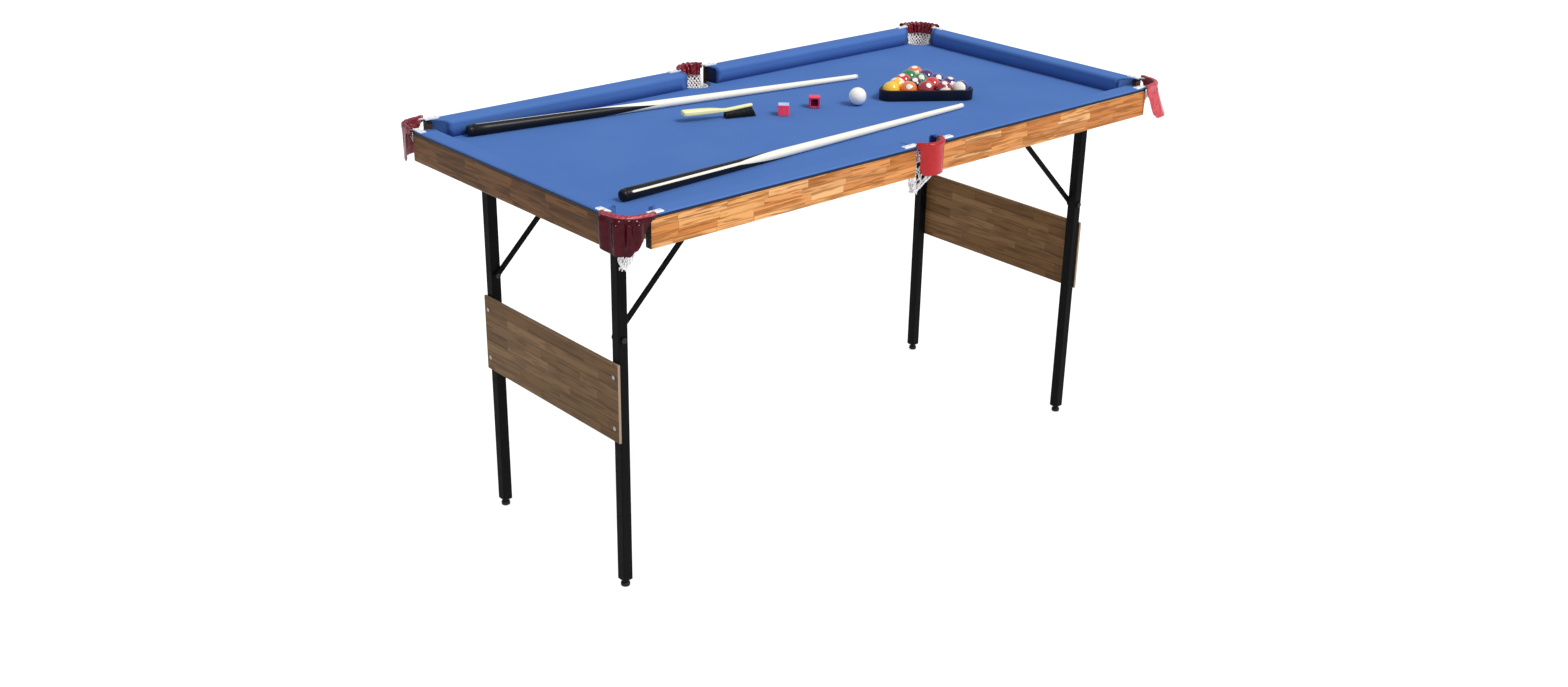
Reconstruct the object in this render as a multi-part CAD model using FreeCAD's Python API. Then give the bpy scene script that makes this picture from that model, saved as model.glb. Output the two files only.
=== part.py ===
import FreeCAD, Part
import math
import os

# A folding mini pool table with its playing set laid out on the bed. Units are millimetres.
# X runs along the table, Y across it and Z up. The origin is on the floor under the table's middle.
# Left and right are -X and +X, front and rear are -Y and +Y. "In" is a distance from an outer face
# of the aprons towards the middle of the table.

V = FreeCAD.Vector

# Body of the table.
LENGTH = 1370.0
WIDTH = 692.0
APRON_BOTTOM = 704.0
APRON_THICK = 15.0
APRON_EASE = 1.5
TRIM_BOTTOM = 755.0
TRIM_TOP = 758.5
RAIL_TOP = 762.0
RAIL_EDGE = 1.0
NOSE_IN = 40.0
NOSE_RADIUS = 8.0
NOSE_UNDER = (2.5, 5.0)
NOSE_FOOT = 9.0
EDGE_RADIUS = 2.0
RUBBER_IN = 24.0
BED_TOP = 730.0
CLOTH_THICK = 1.2
BED_CLOTH_THICK = 1.5
BOARD_THICK = 12.0
BATTEN = (1100.0, 40.0, 15.0)
BATTEN_EASE = 2.0
BLOCK_LEGS = (100.0, 125.0)
BLOCK_THICK = 11.0
NOTCH_RADIUS = 31.0

# Pockets. The aprons stop short of each corner and of the middle of each long side.
CORNER_GAP = 52.0
CORNER_MOUTH = 79.0
SIDE_GAP = 35.0
SIDE_MOUTH = 40.0
CORNER_IN = 35.0
CORNER_RADIUS = 37.0
SIDE_IN = 19.0
SIDE_RADIUS = 35.8
ROLL_RADIUS = 5.5
IRON_WIDTH = 4.0
IRON_THICK = 2.5
TAB = (28.0, 11.0, 2.0)
TAB_IN = 1.5
TACK_AT = (0.42, 0.82)
TACK_HEAD = (2.4, 1.0)
TACK_SHANK = (0.8, 12.0)
FLAP_OUT = 2.0
FLAP_THICK = 2.5
CORNER_FLAP_BOTTOM = 700.0
CORNER_FLAP_HALF = (38.0, 30.0)
CORNER_FLAP_WAIST = 16.0
CORNER_FLAP_TAPER = 8.0
SIDE_FLAP_BOTTOM = 707.0
SIDE_FLAP_HALF = 31.0
SIDE_FLAP_ROUND = 10.0
NET_TOP = 757.0
NET_BOTTOM = 662.0
NET_WALL = 1.5
NET_TAPER = ((0.0, 0.26), (0.2, 0.45), (0.45, 0.62), (0.7, 0.73), (1.0, 1.0))
NET_RADIUS = 34.0
NET_LIP = 727.0
NET_OPEN = 12.0

# Folding leg frames. The two frames nest beside each other when both are folded.
PIVOT_X = 591.0
PIVOT_Z = 705.0
LEG_SPREAD = {"left": 198.0, "right": 224.0}
LEG_SIZE = 20.0
LEG_WALL = 1.5
LEG_CORNER = 2.0
LEG_TOP = 709.0
LEG_BOTTOM = 15.0
CROSS_RADIUS = 6.0
CROSS_WALL = 1.5
PANEL_LOW = 297.0
PANEL_HIGH = 447.0
PANEL_THICK = 5.0
PANEL_LAP = 2.0
PANEL_EASE = 1.0
SCREW_IN = 26.0
SCREW_HEAD = (4.0, 1.2)
SCREW_SHANK = 1.8
SCREW_PAST = 2.0
PLUG_DEPTH = 22.0
PLUG_LIP = 3.0
PLUG_STEP = 0.8
PLUG_CHAMFER = 2.0
PLUG_PLAY = 0.05
RUNNING = 0.05

# Braces. Each turns on a bolt through its leg, and its notched end drops off a stub pin to fold.
BRACE_BOLT_Z = 490.0
BRACE_REACH = 227.0
KEEPER_Z = 713.2
KEEPER_RADIUS = 2.5
BRACE_THICK = 4.0
BRACE_HALF = 5.0
BRACE_EYE = 7.5
HOOK_RADIUS = 8.0
SIDE_PLAY = 0.4
BOLT_RADIUS = 3.0
RIVET = (5.0, 2.0)
NUT = (6.0, 4.0)
NOTCH_PLAY = 0.35
PATH_STEPS = 8
PATH_TURN = 16.0
BED_PLAY = 0.6

# Brackets under the bed.
BRACKET_IN = 40.0
PLATE_THICK = 2.0
SADDLE_PLATE = (21.0, 10.0)
SADDLE_RADIUS = 9.0
SADDLE_SCREW = 15.5
KEEPER_PLATE = (14.0, 13.0)
KEEPER_SCREW = (8.0, 7.0)
EAR_HALF = 7.0
EAR_THICK = 3.0
EAR_ROOM = 2.4
PIN_SHORT = 0.1
PAN_HEAD = (3.4, 1.8)
PAN_SHANK = (1.7, 11.0)

# Levelling feet.
FOOT_RADIUS = 8.5
FOOT_HEIGHT = 8.0
FOOT_EASE = 2.2
STEM_RADIUS = 4.0
STEM_TOP = 34.0

# Playing set.
REST_GAP = 0.3
BALL_RADIUS = 18.0
BALL_PLAY = 0.1
BALL_ROWS = 5
RACK_CENTRE = (325.0, -12.0)
RACK_TURN = -5.0
RACK_WALL = 5.0
RACK_HEIGHT = 22.0
RACK_CORNER = 12.0
RACK_PLAY = 0.5
CUE_BALL = (155.0, 3.0)
CUE_BUTT_RADIUS = 11.0
CUE_TIP_RADIUS = 5.0
CUE_BUTT_SHARE = 0.40
FERRULE_LENGTH = 12.0
LEATHER_LENGTH = 6.0
CUES = {"front": ((-577.0, -190.0), (308.0, -143.0)), "rear": ((-574.0, 291.0), (300.0, 153.0))}
BRUSH_NECK = (-120.0, 95.0)
BRUSH_TURN = -18.0
BRUSH_HEAD = (62.0, 5.5, 5.0)
BRUSH_HEAD_LOW = 12.5
BRUSH_HEAD_ROUND = 3.5
BRUSH_HEAD_RISE = 6.5
BRUSH_GRIP = (84.0, 8.0, 7.5, 9.0)
BRUSH_GRIP_LOW = 13.0
BRUSH_GRIP_ROUND = 5.0
BRISTLE_TOP = (3.0, 59.0)
BRISTLE_FOOT = (5.0, 66.0)
BRISTLE_HALF = 7.5
CHALK = 22.0
CHALK_DISH = (10.0, 6.0)
CHALK_TURN = -42.0
CHALK_AT = ((-10.0, 41.0), (76.0, 45.0))

HALF_X = LENGTH / 2
HALF_Y = WIDTH / 2
BOARD_TOP = BED_TOP - BED_CLOTH_THICK
BOARD_BOTTOM = BOARD_TOP - BOARD_THICK
TABLE_REST = BED_TOP + REST_GAP
SIGN_X = {"left": -1, "right": 1}
SIGN_Y = {"front": -1, "rear": 1}
UP = V(0, 0, 1)
ORIGIN = V(0, 0, 0)

nodes = {}


def add(name, *solids):
    nodes[name] = list(solids)


def box(x0, x1, y0, y1, z0, z1):
    low = V(min(x0, x1), min(y0, y1), min(z0, z1))
    return Part.makeBox(abs(x1 - x0), abs(y1 - y0), abs(z1 - z0), low)


def rod(start, end, radius):
    run = end - start
    return Part.makeCylinder(radius, run.Length, start, run)


def outline_face(points, place):
    """A face from (a, b) points, where a point with four values is an arc by way of a middle point."""
    edges = []
    last = place(*points[0])
    for step in points[1:] + points[:1]:
        end = place(*step[-2:])
        if len(step) == 4:
            edges.append(Part.Arc(last, place(*step[:2]), end).toShape())
        else:
            edges.append(Part.LineSegment(last, end).toShape())
        last = end
    return Part.Face(Part.Wire(edges))


def plan_prism(points, z0, z1):
    face = outline_face(points, lambda x, y: V(x, y, z0))
    return face.extrude(V(0, 0, z1 - z0))


def flipped(shape, sign_x, sign_y):
    """A copy of a shape made for the left front, moved to another quarter of the table."""
    if sign_x > 0:
        shape = shape.mirror(ORIGIN, V(1, 0, 0))
    if sign_y > 0:
        shape = shape.mirror(ORIGIN, V(0, 1, 0))
    return shape


def cut_all(shape, tools):
    for tool in tools:
        if shape.BoundBox.intersect(tool.BoundBox):
            shape = shape.cut(tool)
    return shape


def eased(solid, radius, direction):
    """The edges of a board that run along one direction, rounded over."""
    along = [e for e in solid.Edges if abs(e.tangentAt(e.FirstParameter).dot(direction)) > 0.99]
    return solid.makeFillet(radius, along)


# ---------------------------------------------------------------- aprons, trim and rails


def apron_spans():
    """The name of each apron, its run direction and the box it fills in plan."""
    spans = []
    for side, sy in SIGN_Y.items():
        y0 = sy * HALF_Y
        y1 = sy * (HALF_Y - APRON_THICK)
        for end, sx in SIGN_X.items():
            spans.append((f"{side}_{end}", V(1, 0, 0), sx * (HALF_X - CORNER_GAP), sx * SIDE_GAP, y0, y1))
    for end, sx in SIGN_X.items():
        x0 = sx * HALF_X
        x1 = sx * (HALF_X - APRON_THICK)
        spans.append((f"{end}_end", V(0, 1, 0), x0, x1, CORNER_GAP - HALF_Y, HALF_Y - CORNER_GAP))
    return spans


def make_aprons():
    trims = []
    for name, run, x0, x1, y0, y1 in apron_spans():
        board = box(x0, x1, y0, y1, APRON_BOTTOM, TRIM_BOTTOM)
        add(f"apron_{name}", eased(board, APRON_EASE, run))
        trims.append(box(x0, x1, y0, y1, TRIM_BOTTOM, TRIM_TOP))
    add("trim_strips", *trims)


def rail_outline(inset):
    """The rail's section as (in, z) points, drawn inset under the cloth where the cloth wraps it."""
    edge_r = EDGE_RADIUS - inset
    nose_r = NOSE_RADIUS - inset
    bevel = math.sqrt(0.5)
    edge_c = (RAIL_EDGE + EDGE_RADIUS, RAIL_TOP - EDGE_RADIUS)
    nose_c = (NOSE_IN - NOSE_RADIUS, RAIL_TOP - NOSE_RADIUS)
    return [
        (RAIL_EDGE + inset, TRIM_TOP),
        (RAIL_EDGE + inset, edge_c[1]),
        (edge_c[0] - edge_r * bevel, edge_c[1] + edge_r * bevel, edge_c[0], RAIL_TOP - inset),
        (nose_c[0], RAIL_TOP - inset),
        (nose_c[0] + nose_r * bevel, nose_c[1] + nose_r * bevel, NOSE_IN - inset, nose_c[1]),
        (NOSE_IN - NOSE_UNDER[0] - inset, nose_c[1] - NOSE_UNDER[1]),
        (NOSE_IN - NOSE_FOOT - inset, BED_TOP),
        (APRON_THICK, BED_TOP),
        (APRON_THICK, TRIM_TOP),
    ]


def mouth_cut(gap, mouth, inward):
    """How far along a rail its end face lies, at a distance in from the outer face."""
    return gap + (mouth - gap) * inward / NOSE_IN


def long_rail(inset):
    section = outline_face(rail_outline(inset), lambda a, z: V(-HALF_X, a - HALF_Y, z))
    bar = section.extrude(V(HALF_X, 0, 0))
    out, deep = -5.0, NOSE_IN + 5.0
    plan = [
        (mouth_cut(CORNER_GAP, CORNER_MOUTH, out) + inset - HALF_X, out - HALF_Y),
        (mouth_cut(CORNER_GAP, CORNER_MOUTH, deep) + inset - HALF_X, deep - HALF_Y),
        (-mouth_cut(SIDE_GAP, SIDE_MOUTH, deep) - inset, deep - HALF_Y),
        (-mouth_cut(SIDE_GAP, SIDE_MOUTH, out) - inset, out - HALF_Y),
    ]
    return bar.common(plan_prism(plan, APRON_BOTTOM, RAIL_TOP + 5))


def end_rail(inset):
    section = outline_face(rail_outline(inset), lambda a, z: V(a - HALF_X, -HALF_Y, z))
    bar = section.extrude(V(0, WIDTH, 0))
    out, deep = -5.0, NOSE_IN + 5.0
    near = HALF_Y - mouth_cut(CORNER_GAP, CORNER_MOUTH, out) - inset
    far = HALF_Y - mouth_cut(CORNER_GAP, CORNER_MOUTH, deep) - inset
    plan = [(out - HALF_X, -near), (deep - HALF_X, -far), (deep - HALF_X, far), (out - HALF_X, near)]
    return bar.common(plan_prism(plan, APRON_BOTTOM, RAIL_TOP + 5))


def make_rails():
    """Each rail is a wooden core with a rubber nose strip, both wrapped in cloth."""
    whole = {"front": long_rail(0), "end": end_rail(0)}
    inner = {"front": long_rail(CLOTH_THICK), "end": end_rail(CLOTH_THICK)}
    split = {
        "front": box(-HALF_X, HALF_X, RUBBER_IN - HALF_Y, 0, BED_TOP, RAIL_TOP),
        "end": box(RUBBER_IN - HALF_X, 0, -HALF_Y, HALF_Y, BED_TOP, RAIL_TOP),
    }
    cores = []
    rubbers = []
    places = [(f"{s}_{e}", "front", sx, sy) for s, sy in SIGN_Y.items() for e, sx in SIGN_X.items()]
    places += [(f"{e}_end", "end", sx, -1) for e, sx in SIGN_X.items()]
    for name, kind, sx, sy in places:
        add(f"rail_cloth_{name}", flipped(whole[kind].cut(inner[kind]), sx, sy))
        cores.append(flipped(inner[kind].cut(split[kind]), sx, sy))
        rubbers.append(flipped(inner[kind].common(split[kind]), sx, sy))
    add("rail_cores", *cores)
    add("cushion_rubbers", *rubbers)


# ---------------------------------------------------------------- bed


def pocket_centres():
    for sx in (-1, 1):
        for sy in (-1, 1):
            yield sx * (HALF_X - CORNER_IN), sy * (HALF_Y - CORNER_IN)
    for sy in (-1, 1):
        yield 0.0, sy * (HALF_Y - SIDE_IN)


def make_bed():
    x = HALF_X - APRON_THICK
    y = HALF_Y - APRON_THICK
    holes = []
    for px, py in pocket_centres():
        holes.append(Part.makeCylinder(NOTCH_RADIUS, 40.0, V(px, py, BOARD_BOTTOM - 10.0), UP))
    board = box(-x, x, -y, y, BOARD_BOTTOM, BOARD_TOP)
    cloth = box(-x, x, -y, y, BOARD_TOP, BED_TOP)
    add("bed_board", cut_all(board, holes))
    add("bed_cloth", cut_all(cloth, holes))
    length, width, height = BATTEN
    batten = box(-length / 2, length / 2, -width / 2, width / 2, BOARD_BOTTOM - height, BOARD_BOTTOM)
    add("bed_batten", eased(batten, BATTEN_EASE, V(1, 0, 0)))
    near, far = BLOCK_LEGS
    wall = APRON_THICK
    plan = [(wall, near), (wall, far), (far, wall), (near, wall)]
    block_plan = [(a - HALF_X, b - HALF_Y) for a, b in plan]
    block = plan_prism(block_plan, BOARD_BOTTOM - BLOCK_THICK, BOARD_BOTTOM)
    add("corner_blocks", *[flipped(block, sx, sy) for sy in (-1, 1) for sx in (-1, 1)])


# ---------------------------------------------------------------- pockets


def swept(face_points, centre, middle, half):
    """A section of (radius, z) points turned about a pocket's upright axis, half an angle each way."""
    face = outline_face(face_points, lambda r, z: V(r, 0, z))
    face.rotate(ORIGIN, UP, middle - half)
    solid = face.revolve(ORIGIN, UP, 2 * half)
    solid.translate(centre)
    return solid


def flap_prism(points, centre, middle):
    """The flap's outline of (sideways, z) points, pushed outwards from the pocket's axis."""
    angle = math.radians(middle)
    out = V(math.cos(angle), math.sin(angle), 0)
    side = V(-out.y, out.x, 0)
    face = outline_face(points, lambda s, z: centre + side * s + V(0, 0, z))
    return face.extrude(out * 80.0)


def pocket_iron(radius, centre, middle, half, tabs):
    r0 = radius - IRON_WIDTH / 2
    r1 = radius + IRON_WIDTH / 2
    z1 = RAIL_TOP + IRON_THICK
    iron = swept([(r0, RAIL_TOP), (r1, RAIL_TOP), (r1, z1), (r0, z1)], centre, middle, half)
    for tab in tabs:
        iron = iron.fuse(tab)
    return iron.removeSplitter()


def pocket_leather(radius, low, centre, middle, half, outline, iron, gap):
    """A rolled rim over the iron, with the flap that hangs outside it, kept to the gap in the rails."""
    z = RAIL_TOP + IRON_THICK / 2
    ring = Part.Face(Part.Wire(Part.makeCircle(ROLL_RADIUS, V(radius, 0, z), V(0, 1, 0))))
    ring.rotate(ORIGIN, UP, middle - half)
    roll = ring.revolve(ORIGIN, UP, 2 * half)
    roll.translate(centre)
    r0 = radius + FLAP_OUT
    r1 = r0 + FLAP_THICK
    curtain = swept([(r0, low), (r1, low), (r1, z), (r0, z)], centre, middle, half)
    flap = curtain.common(flap_prism(outline, centre, middle))
    return roll.fuse(flap).cut(iron).common(gap)


def pocket_net(centre, middle):
    """A netting cup for a potted ball, as a thin shell that is cut low on the side of the bed."""
    drop = NET_TOP - NET_BOTTOM
    outer = [(0.0, NET_BOTTOM)]
    outer += [(NET_RADIUS * share, NET_BOTTOM + drop * rise) for rise, share in NET_TAPER]
    inner = [(r - NET_WALL, z) for r, z in reversed(outer[1:])]
    low_r, low_z = inner[-1]
    inner[-1] = (low_r, low_z + NET_WALL)
    inner.append((0.0, NET_BOTTOM + NET_WALL))
    face = outline_face(outer + inner, lambda r, z: V(r, 0, z))
    cup = face.revolve(ORIGIN, UP, 360)
    reach = 2 * NET_RADIUS
    mouth = box(-reach, NET_OPEN, -reach, reach, NET_LIP, NET_TOP + 1)
    mouth.rotate(ORIGIN, UP, middle)
    cup = cup.cut(mouth)
    cup.translate(centre)
    return cup


def tack(x, y):
    top = RAIL_TOP + TAB[2]
    shank_radius, shank_length = TACK_SHANK
    head = Part.makeCylinder(*TACK_HEAD, V(x, y, top), UP)
    shank = Part.makeCylinder(shank_radius, shank_length, V(x, y, top - shank_length), UP)
    return head.fuse(shank).removeSplitter()


def tab_on_long(start):
    """A flat arm of an iron on the front rail, from a distance along it, and its two tacks."""
    length, width, thick = TAB
    y0 = TAB_IN - HALF_Y
    arm = box(start, start + length, y0, y0 + width, RAIL_TOP, RAIL_TOP + thick)
    tacks = [tack(start + length * part, y0 + width / 2) for part in TACK_AT]
    return arm, tacks


def tab_on_end(start):
    length, width, thick = TAB
    x0 = TAB_IN - HALF_X
    arm = box(x0, x0 + width, start, start + length, RAIL_TOP, RAIL_TOP + thick)
    tacks = [tack(x0 + width / 2, start + length * part) for part in TACK_AT]
    return arm, tacks


def corner_pocket():
    centre = V(CORNER_IN - HALF_X, CORNER_IN - HALF_Y, 0)
    half = 135.0 - math.degrees(math.acos((CORNER_GAP - CORNER_IN) / CORNER_RADIUS))
    on_long, tacks_long = tab_on_long(CORNER_GAP - 1 - HALF_X)
    on_end, tacks_end = tab_on_end(CORNER_GAP - 1 - HALF_Y)
    iron = pocket_iron(CORNER_RADIUS, centre, -135.0, half, (on_long, on_end))
    wide, narrow = CORNER_FLAP_HALF
    low = CORNER_FLAP_BOTTOM
    waist = RAIL_TOP - CORNER_FLAP_WAIST
    outline = [
        (-wide, RAIL_TOP + 5),
        (-wide, waist),
        (-narrow - 4, low + CORNER_FLAP_TAPER),
        (-narrow + 1, low + 1.5, -narrow + 6, low),
        (narrow - 6, low),
        (narrow - 1, low + 1.5, narrow + 4, low + CORNER_FLAP_TAPER),
        (wide, waist),
        (wide, RAIL_TOP + 5),
    ]
    edge_x = CORNER_GAP - HALF_X
    edge_y = CORNER_GAP - HALF_Y
    gap = box(edge_x - 100, edge_x, edge_y - 100, edge_y, low - 5, RAIL_TOP + 20)
    leather = pocket_leather(CORNER_RADIUS, low, centre, -135.0, half, outline, iron, gap)
    return iron, leather, pocket_net(centre, -135.0), tacks_long + tacks_end


def side_pocket():
    centre = V(0, SIDE_IN - HALF_Y, 0)
    half = math.degrees(math.asin(SIDE_GAP / SIDE_RADIUS))
    on_right, tacks_right = tab_on_long(SIDE_GAP - 1)
    on_left = on_right.mirror(ORIGIN, V(1, 0, 0))
    tacks_left = [one.mirror(ORIGIN, V(1, 0, 0)) for one in tacks_right]
    iron = pocket_iron(SIDE_RADIUS, centre, -90.0, half, (on_left, on_right))
    wide = SIDE_FLAP_HALF
    low = SIDE_FLAP_BOTTOM
    side = wide - SIDE_FLAP_ROUND
    bend = SIDE_FLAP_ROUND * (1 - math.sqrt(0.5))
    outline = [
        (-wide, RAIL_TOP + 5),
        (-wide, low + SIDE_FLAP_ROUND),
        (bend - wide, low + bend, -side, low),
        (side, low),
        (wide - bend, low + bend, wide, low + SIDE_FLAP_ROUND),
        (wide, RAIL_TOP + 5),
    ]
    gap = box(-SIDE_GAP, SIDE_GAP, -HALF_Y - 50, 0, low - 5, RAIL_TOP + 20)
    leather = pocket_leather(SIDE_RADIUS, low, centre, -90.0, half, outline, iron, gap)
    return iron, leather, pocket_net(centre, -90.0), tacks_left + tacks_right


def make_pockets():
    corner = corner_pocket()
    side = side_pocket()
    places = [(f"{s}_{e}", corner, sx, sy) for s, sy in SIGN_Y.items() for e, sx in SIGN_X.items()]
    places += [(f"{s}_middle", side, -1, sy) for s, sy in SIGN_Y.items()]
    irons = []
    nets = []
    tacks = []
    for name, (iron, leather, net, pins), sx, sy in places:
        irons.append(flipped(iron, sx, sy))
        nets.append(flipped(net, sx, sy))
        tacks += [flipped(pin, sx, sy) for pin in pins]
        add(f"pocket_leather_{name}", flipped(leather, sx, sy))
    add("pocket_irons", *[cut_all(iron, tacks) for iron in irons])
    add("pocket_nets", *nets)
    add("pocket_tacks", *tacks)
    for name, group in nodes.items():
        if name.startswith(("rail_", "cushion_", "apron_", "trim_")):
            nodes[name] = [cut_all(solid, tacks) for solid in group]


# ---------------------------------------------------------------- folding leg frames


def square_tube(x, y, z0, z1):
    half = LEG_SIZE / 2
    hole = half - LEG_WALL
    outer = eased(box(x - half, x + half, y - half, y + half, z0, z1), LEG_CORNER, UP)
    return outer.cut(box(x - hole, x + hole, y - hole, y + hole, z0 - 1, z1 + 1))


def wood_screw(x, y, sign_x):
    """A cross-head screw driven inwards through the panel into a leg, at each of two heights."""
    face = sign_x * (PIVOT_X + LEG_SIZE / 2 + PANEL_THICK)
    screws = []
    for z in (PANEL_LOW + SCREW_IN, PANEL_HIGH - SCREW_IN):
        head = rod(V(face, y, z), V(face + sign_x * SCREW_HEAD[1], y, z), SCREW_HEAD[0])
        shank = rod(V(face, y, z), V(x - sign_x * SCREW_PAST, y, z), SCREW_SHANK)
        screws.append(head.fuse(shank).removeSplitter())
    return screws


def hexagon(centre, radius, run):
    """A hexagonal bolt head or nut that stands along Y."""
    corners = []
    for step in range(6):
        angle = math.radians(60 * step)
        corners.append((centre.x + radius * math.cos(angle), centre.z + radius * math.sin(angle)))
    return outline_face(corners, lambda x, z: V(x, centre.y, z)).extrude(V(0, run, 0))


def brace_layers(spread):
    """How far out a brace's outer and inner faces lie, on a leg's inner side."""
    outer = spread - LEG_SIZE / 2 - SIDE_PLAY
    return outer, outer - BRACE_THICK


def brace_bolt(x, spread, sign_y):
    tail = brace_layers(spread)[1] - SIDE_PLAY
    nut_face = spread + LEG_SIZE / 2
    shank = rod(V(x, sign_y * tail, BRACE_BOLT_Z), V(x, sign_y * nut_face, BRACE_BOLT_Z), BOLT_RADIUS)
    radius, height = RIVET
    rivet = rod(V(x, sign_y * (tail - height), BRACE_BOLT_Z), V(x, sign_y * tail, BRACE_BOLT_Z), radius)
    nut = hexagon(V(x, sign_y * nut_face, BRACE_BOLT_Z), NUT[0], sign_y * NUT[1])
    return shank.fuse([rivet, nut]).removeSplitter()


def make_leg_frame(end):
    sx = SIGN_X[end]
    x = sx * PIVOT_X
    spread = LEG_SPREAD[end]
    fasteners = []
    plugs = []
    legs = {}
    for side, sy in SIGN_Y.items():
        y = sy * spread
        legs[side] = square_tube(x, y, LEG_BOTTOM, LEG_TOP)
        fasteners += wood_screw(x, y, sx)
        fasteners.append(brace_bolt(x, spread, sy))
        plugs.append(leg_plug(x, y))
    panel_in = x + sx * LEG_SIZE / 2
    panel_out = panel_in + sx * PANEL_THICK
    panel_half = spread + LEG_SIZE / 2 + PANEL_LAP
    panel = box(panel_in, panel_out, -panel_half, panel_half, PANEL_LOW, PANEL_HIGH)
    for side, leg in legs.items():
        add(f"leg_{end}_{side}", cut_all(leg, fasteners))
    add(f"end_panel_{end}", cut_all(eased(panel, PANEL_EASE, V(0, 1, 0)), fasteners))
    reach = spread - LEG_SIZE / 2
    tube = rod(V(x, -reach, PIVOT_Z), V(x, reach, PIVOT_Z), CROSS_RADIUS)
    bore = rod(V(x, -reach, PIVOT_Z), V(x, reach, PIVOT_Z), CROSS_RADIUS - CROSS_WALL)
    add(f"cross_tube_{end}", tube.cut(bore))
    add(f"frame_fasteners_{end}", *fasteners)
    add(f"leg_plugs_{end}", *plugs)


def leg_plug(x, y):
    """A plastic plug in the leg's open end, with a tapered lip and the hole for the foot's stem."""
    half = LEG_SIZE / 2 - LEG_WALL - PLUG_PLAY
    lip = LEG_SIZE / 2 - PLUG_STEP
    low = LEG_BOTTOM - PLUG_LIP
    body = box(x - half, x + half, y - half, y + half, LEG_BOTTOM, LEG_BOTTOM + PLUG_DEPTH)
    flange = box(x - lip, x + lip, y - lip, y + lip, low, LEG_BOTTOM)
    low_edges = [e for e in flange.Edges if e.BoundBox.ZMax < low + 0.1]
    flange = flange.makeChamfer(PLUG_CHAMFER, low_edges)
    bore = Part.makeCylinder(STEM_RADIUS + RUNNING, 60.0, V(x, y, 0), UP)
    return body.fuse(flange).cut(bore).removeSplitter()


def make_foot(end, side):
    """A levelling foot: a rounded glide with a stem that screws into the leg's plug."""
    x = SIGN_X[end] * PIVOT_X
    y = SIGN_Y[side] * LEG_SPREAD[end]
    glide = Part.makeCylinder(FOOT_RADIUS, FOOT_HEIGHT, V(x, y, 0), UP)
    round_edges = [e for e in glide.Edges if e.Length > 2 * FOOT_RADIUS * 3 and e.Closed]
    glide = glide.makeFillet(FOOT_EASE, round_edges)
    stem = Part.makeCylinder(STEM_RADIUS, STEM_TOP - FOOT_HEIGHT / 2, V(x, y, FOOT_HEIGHT / 2), UP)
    add(f"foot_{end}_{side}", glide.fuse(stem).removeSplitter())


# ---------------------------------------------------------------- braces and brackets


def keeper_path():
    """The stub pin's way out of the notch as the leg folds, as seen from the brace at rest."""
    rise = KEEPER_Z - BRACE_BOLT_Z
    angle = math.atan2(rise, BRACE_REACH)
    drop = PIVOT_Z - BRACE_BOLT_Z
    path = []
    for step in range(PATH_STEPS + 1):
        fold = math.radians(PATH_TURN * step / PATH_STEPS)
        bolt = V(drop * math.sin(fold), 0, PIVOT_Z - drop * math.cos(fold))
        turn = -angle * fold / math.radians(90.0)
        pin = V(BRACE_REACH, 0, KEEPER_Z) - bolt
        back_x = pin.x * math.cos(turn) + pin.z * math.sin(turn)
        back_z = pin.z * math.cos(turn) - pin.x * math.sin(turn)
        path.append(V(back_x, 0, back_z + BRACE_BOLT_Z))
    return path


def make_brace(end, side):
    """A flat bar for the left end, on its bolt at x = 0, then set in place by its end and side."""
    outer, inner = brace_layers(LEG_SPREAD[end])
    run = V(0, BRACE_THICK, 0)
    eye = V(0, inner, BRACE_BOLT_Z)
    tip = V(BRACE_REACH, inner, KEEPER_Z)
    along = (tip - eye).normalize()
    across = V(-along.z, 0, along.x) * BRACE_HALF
    corners = [eye - across, tip - across, tip + across, eye + across]
    bar = Part.Face(Part.makePolygon(corners + corners[:1])).extrude(run)
    ends = [Part.makeCylinder(BRACE_EYE, BRACE_THICK, eye, run)]
    ends.append(Part.makeCylinder(HOOK_RADIUS, BRACE_THICK, tip, run))
    bar = bar.fuse(ends).removeSplitter()
    bar = bar.cut(Part.makeCylinder(BOLT_RADIUS + RUNNING, 3 * BRACE_THICK, eye - run, run))
    under_bed = BOARD_BOTTOM - BED_PLAY
    bar = bar.cut(box(0, 2 * BRACE_REACH, inner - 1, outer + 1, under_bed, under_bed + 30))
    clear = KEEPER_RADIUS + NOTCH_PLAY
    path = keeper_path()
    for start, stop in zip(path, path[1:]):
        base = V(start.x, inner - 1, start.z)
        bar = bar.cut(Part.makeCylinder(clear, BRACE_THICK + 2, base, run))
        step = stop - start
        wide = V(-step.z, 0, step.x).normalize() * clear
        edge = [base - wide, base + step - wide, base + step + wide, base + wide]
        bar = bar.cut(Part.Face(Part.makePolygon(edge + edge[:1])).extrude(V(0, BRACE_THICK + 2, 0)))
    bar.translate(V(-PIVOT_X, 0, 0))
    add(f"brace_{end}_{side}", flipped(bar, SIGN_X[end], -SIGN_Y[side]))


def bracket_screw(x, y):
    """A pan-head screw up through a bracket's plate into the bed board."""
    plate = BOARD_BOTTOM - PLATE_THICK
    head = Part.makeCylinder(*PAN_HEAD, V(x, y, plate - PAN_HEAD[1]), UP)
    shank = Part.makeCylinder(*PAN_SHANK, V(x, y, plate), UP)
    return head.fuse(shank).removeSplitter()


def saddle_bracket(x, y, plate):
    """A plate under the bed with an eye for the cross tube, and its two screws."""
    half_x, half_y = SADDLE_PLATE
    radius = SADDLE_RADIUS
    low = V(x, y - half_y, PIVOT_Z)
    high = V(x, y + half_y, PIVOT_Z)
    base = box(x - half_x, x + half_x, y - half_y, y + half_y, plate, BOARD_BOTTOM)
    web = box(x - radius, x + radius, y - half_y, y + half_y, PIVOT_Z, plate)
    solid = base.fuse([web, rod(low, high, radius)]).removeSplitter()
    solid = solid.cut(rod(low, high, CROSS_RADIUS + RUNNING))
    return solid, [bracket_screw(x - SADDLE_SCREW, y), bracket_screw(x + SADDLE_SCREW, y)]


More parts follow.
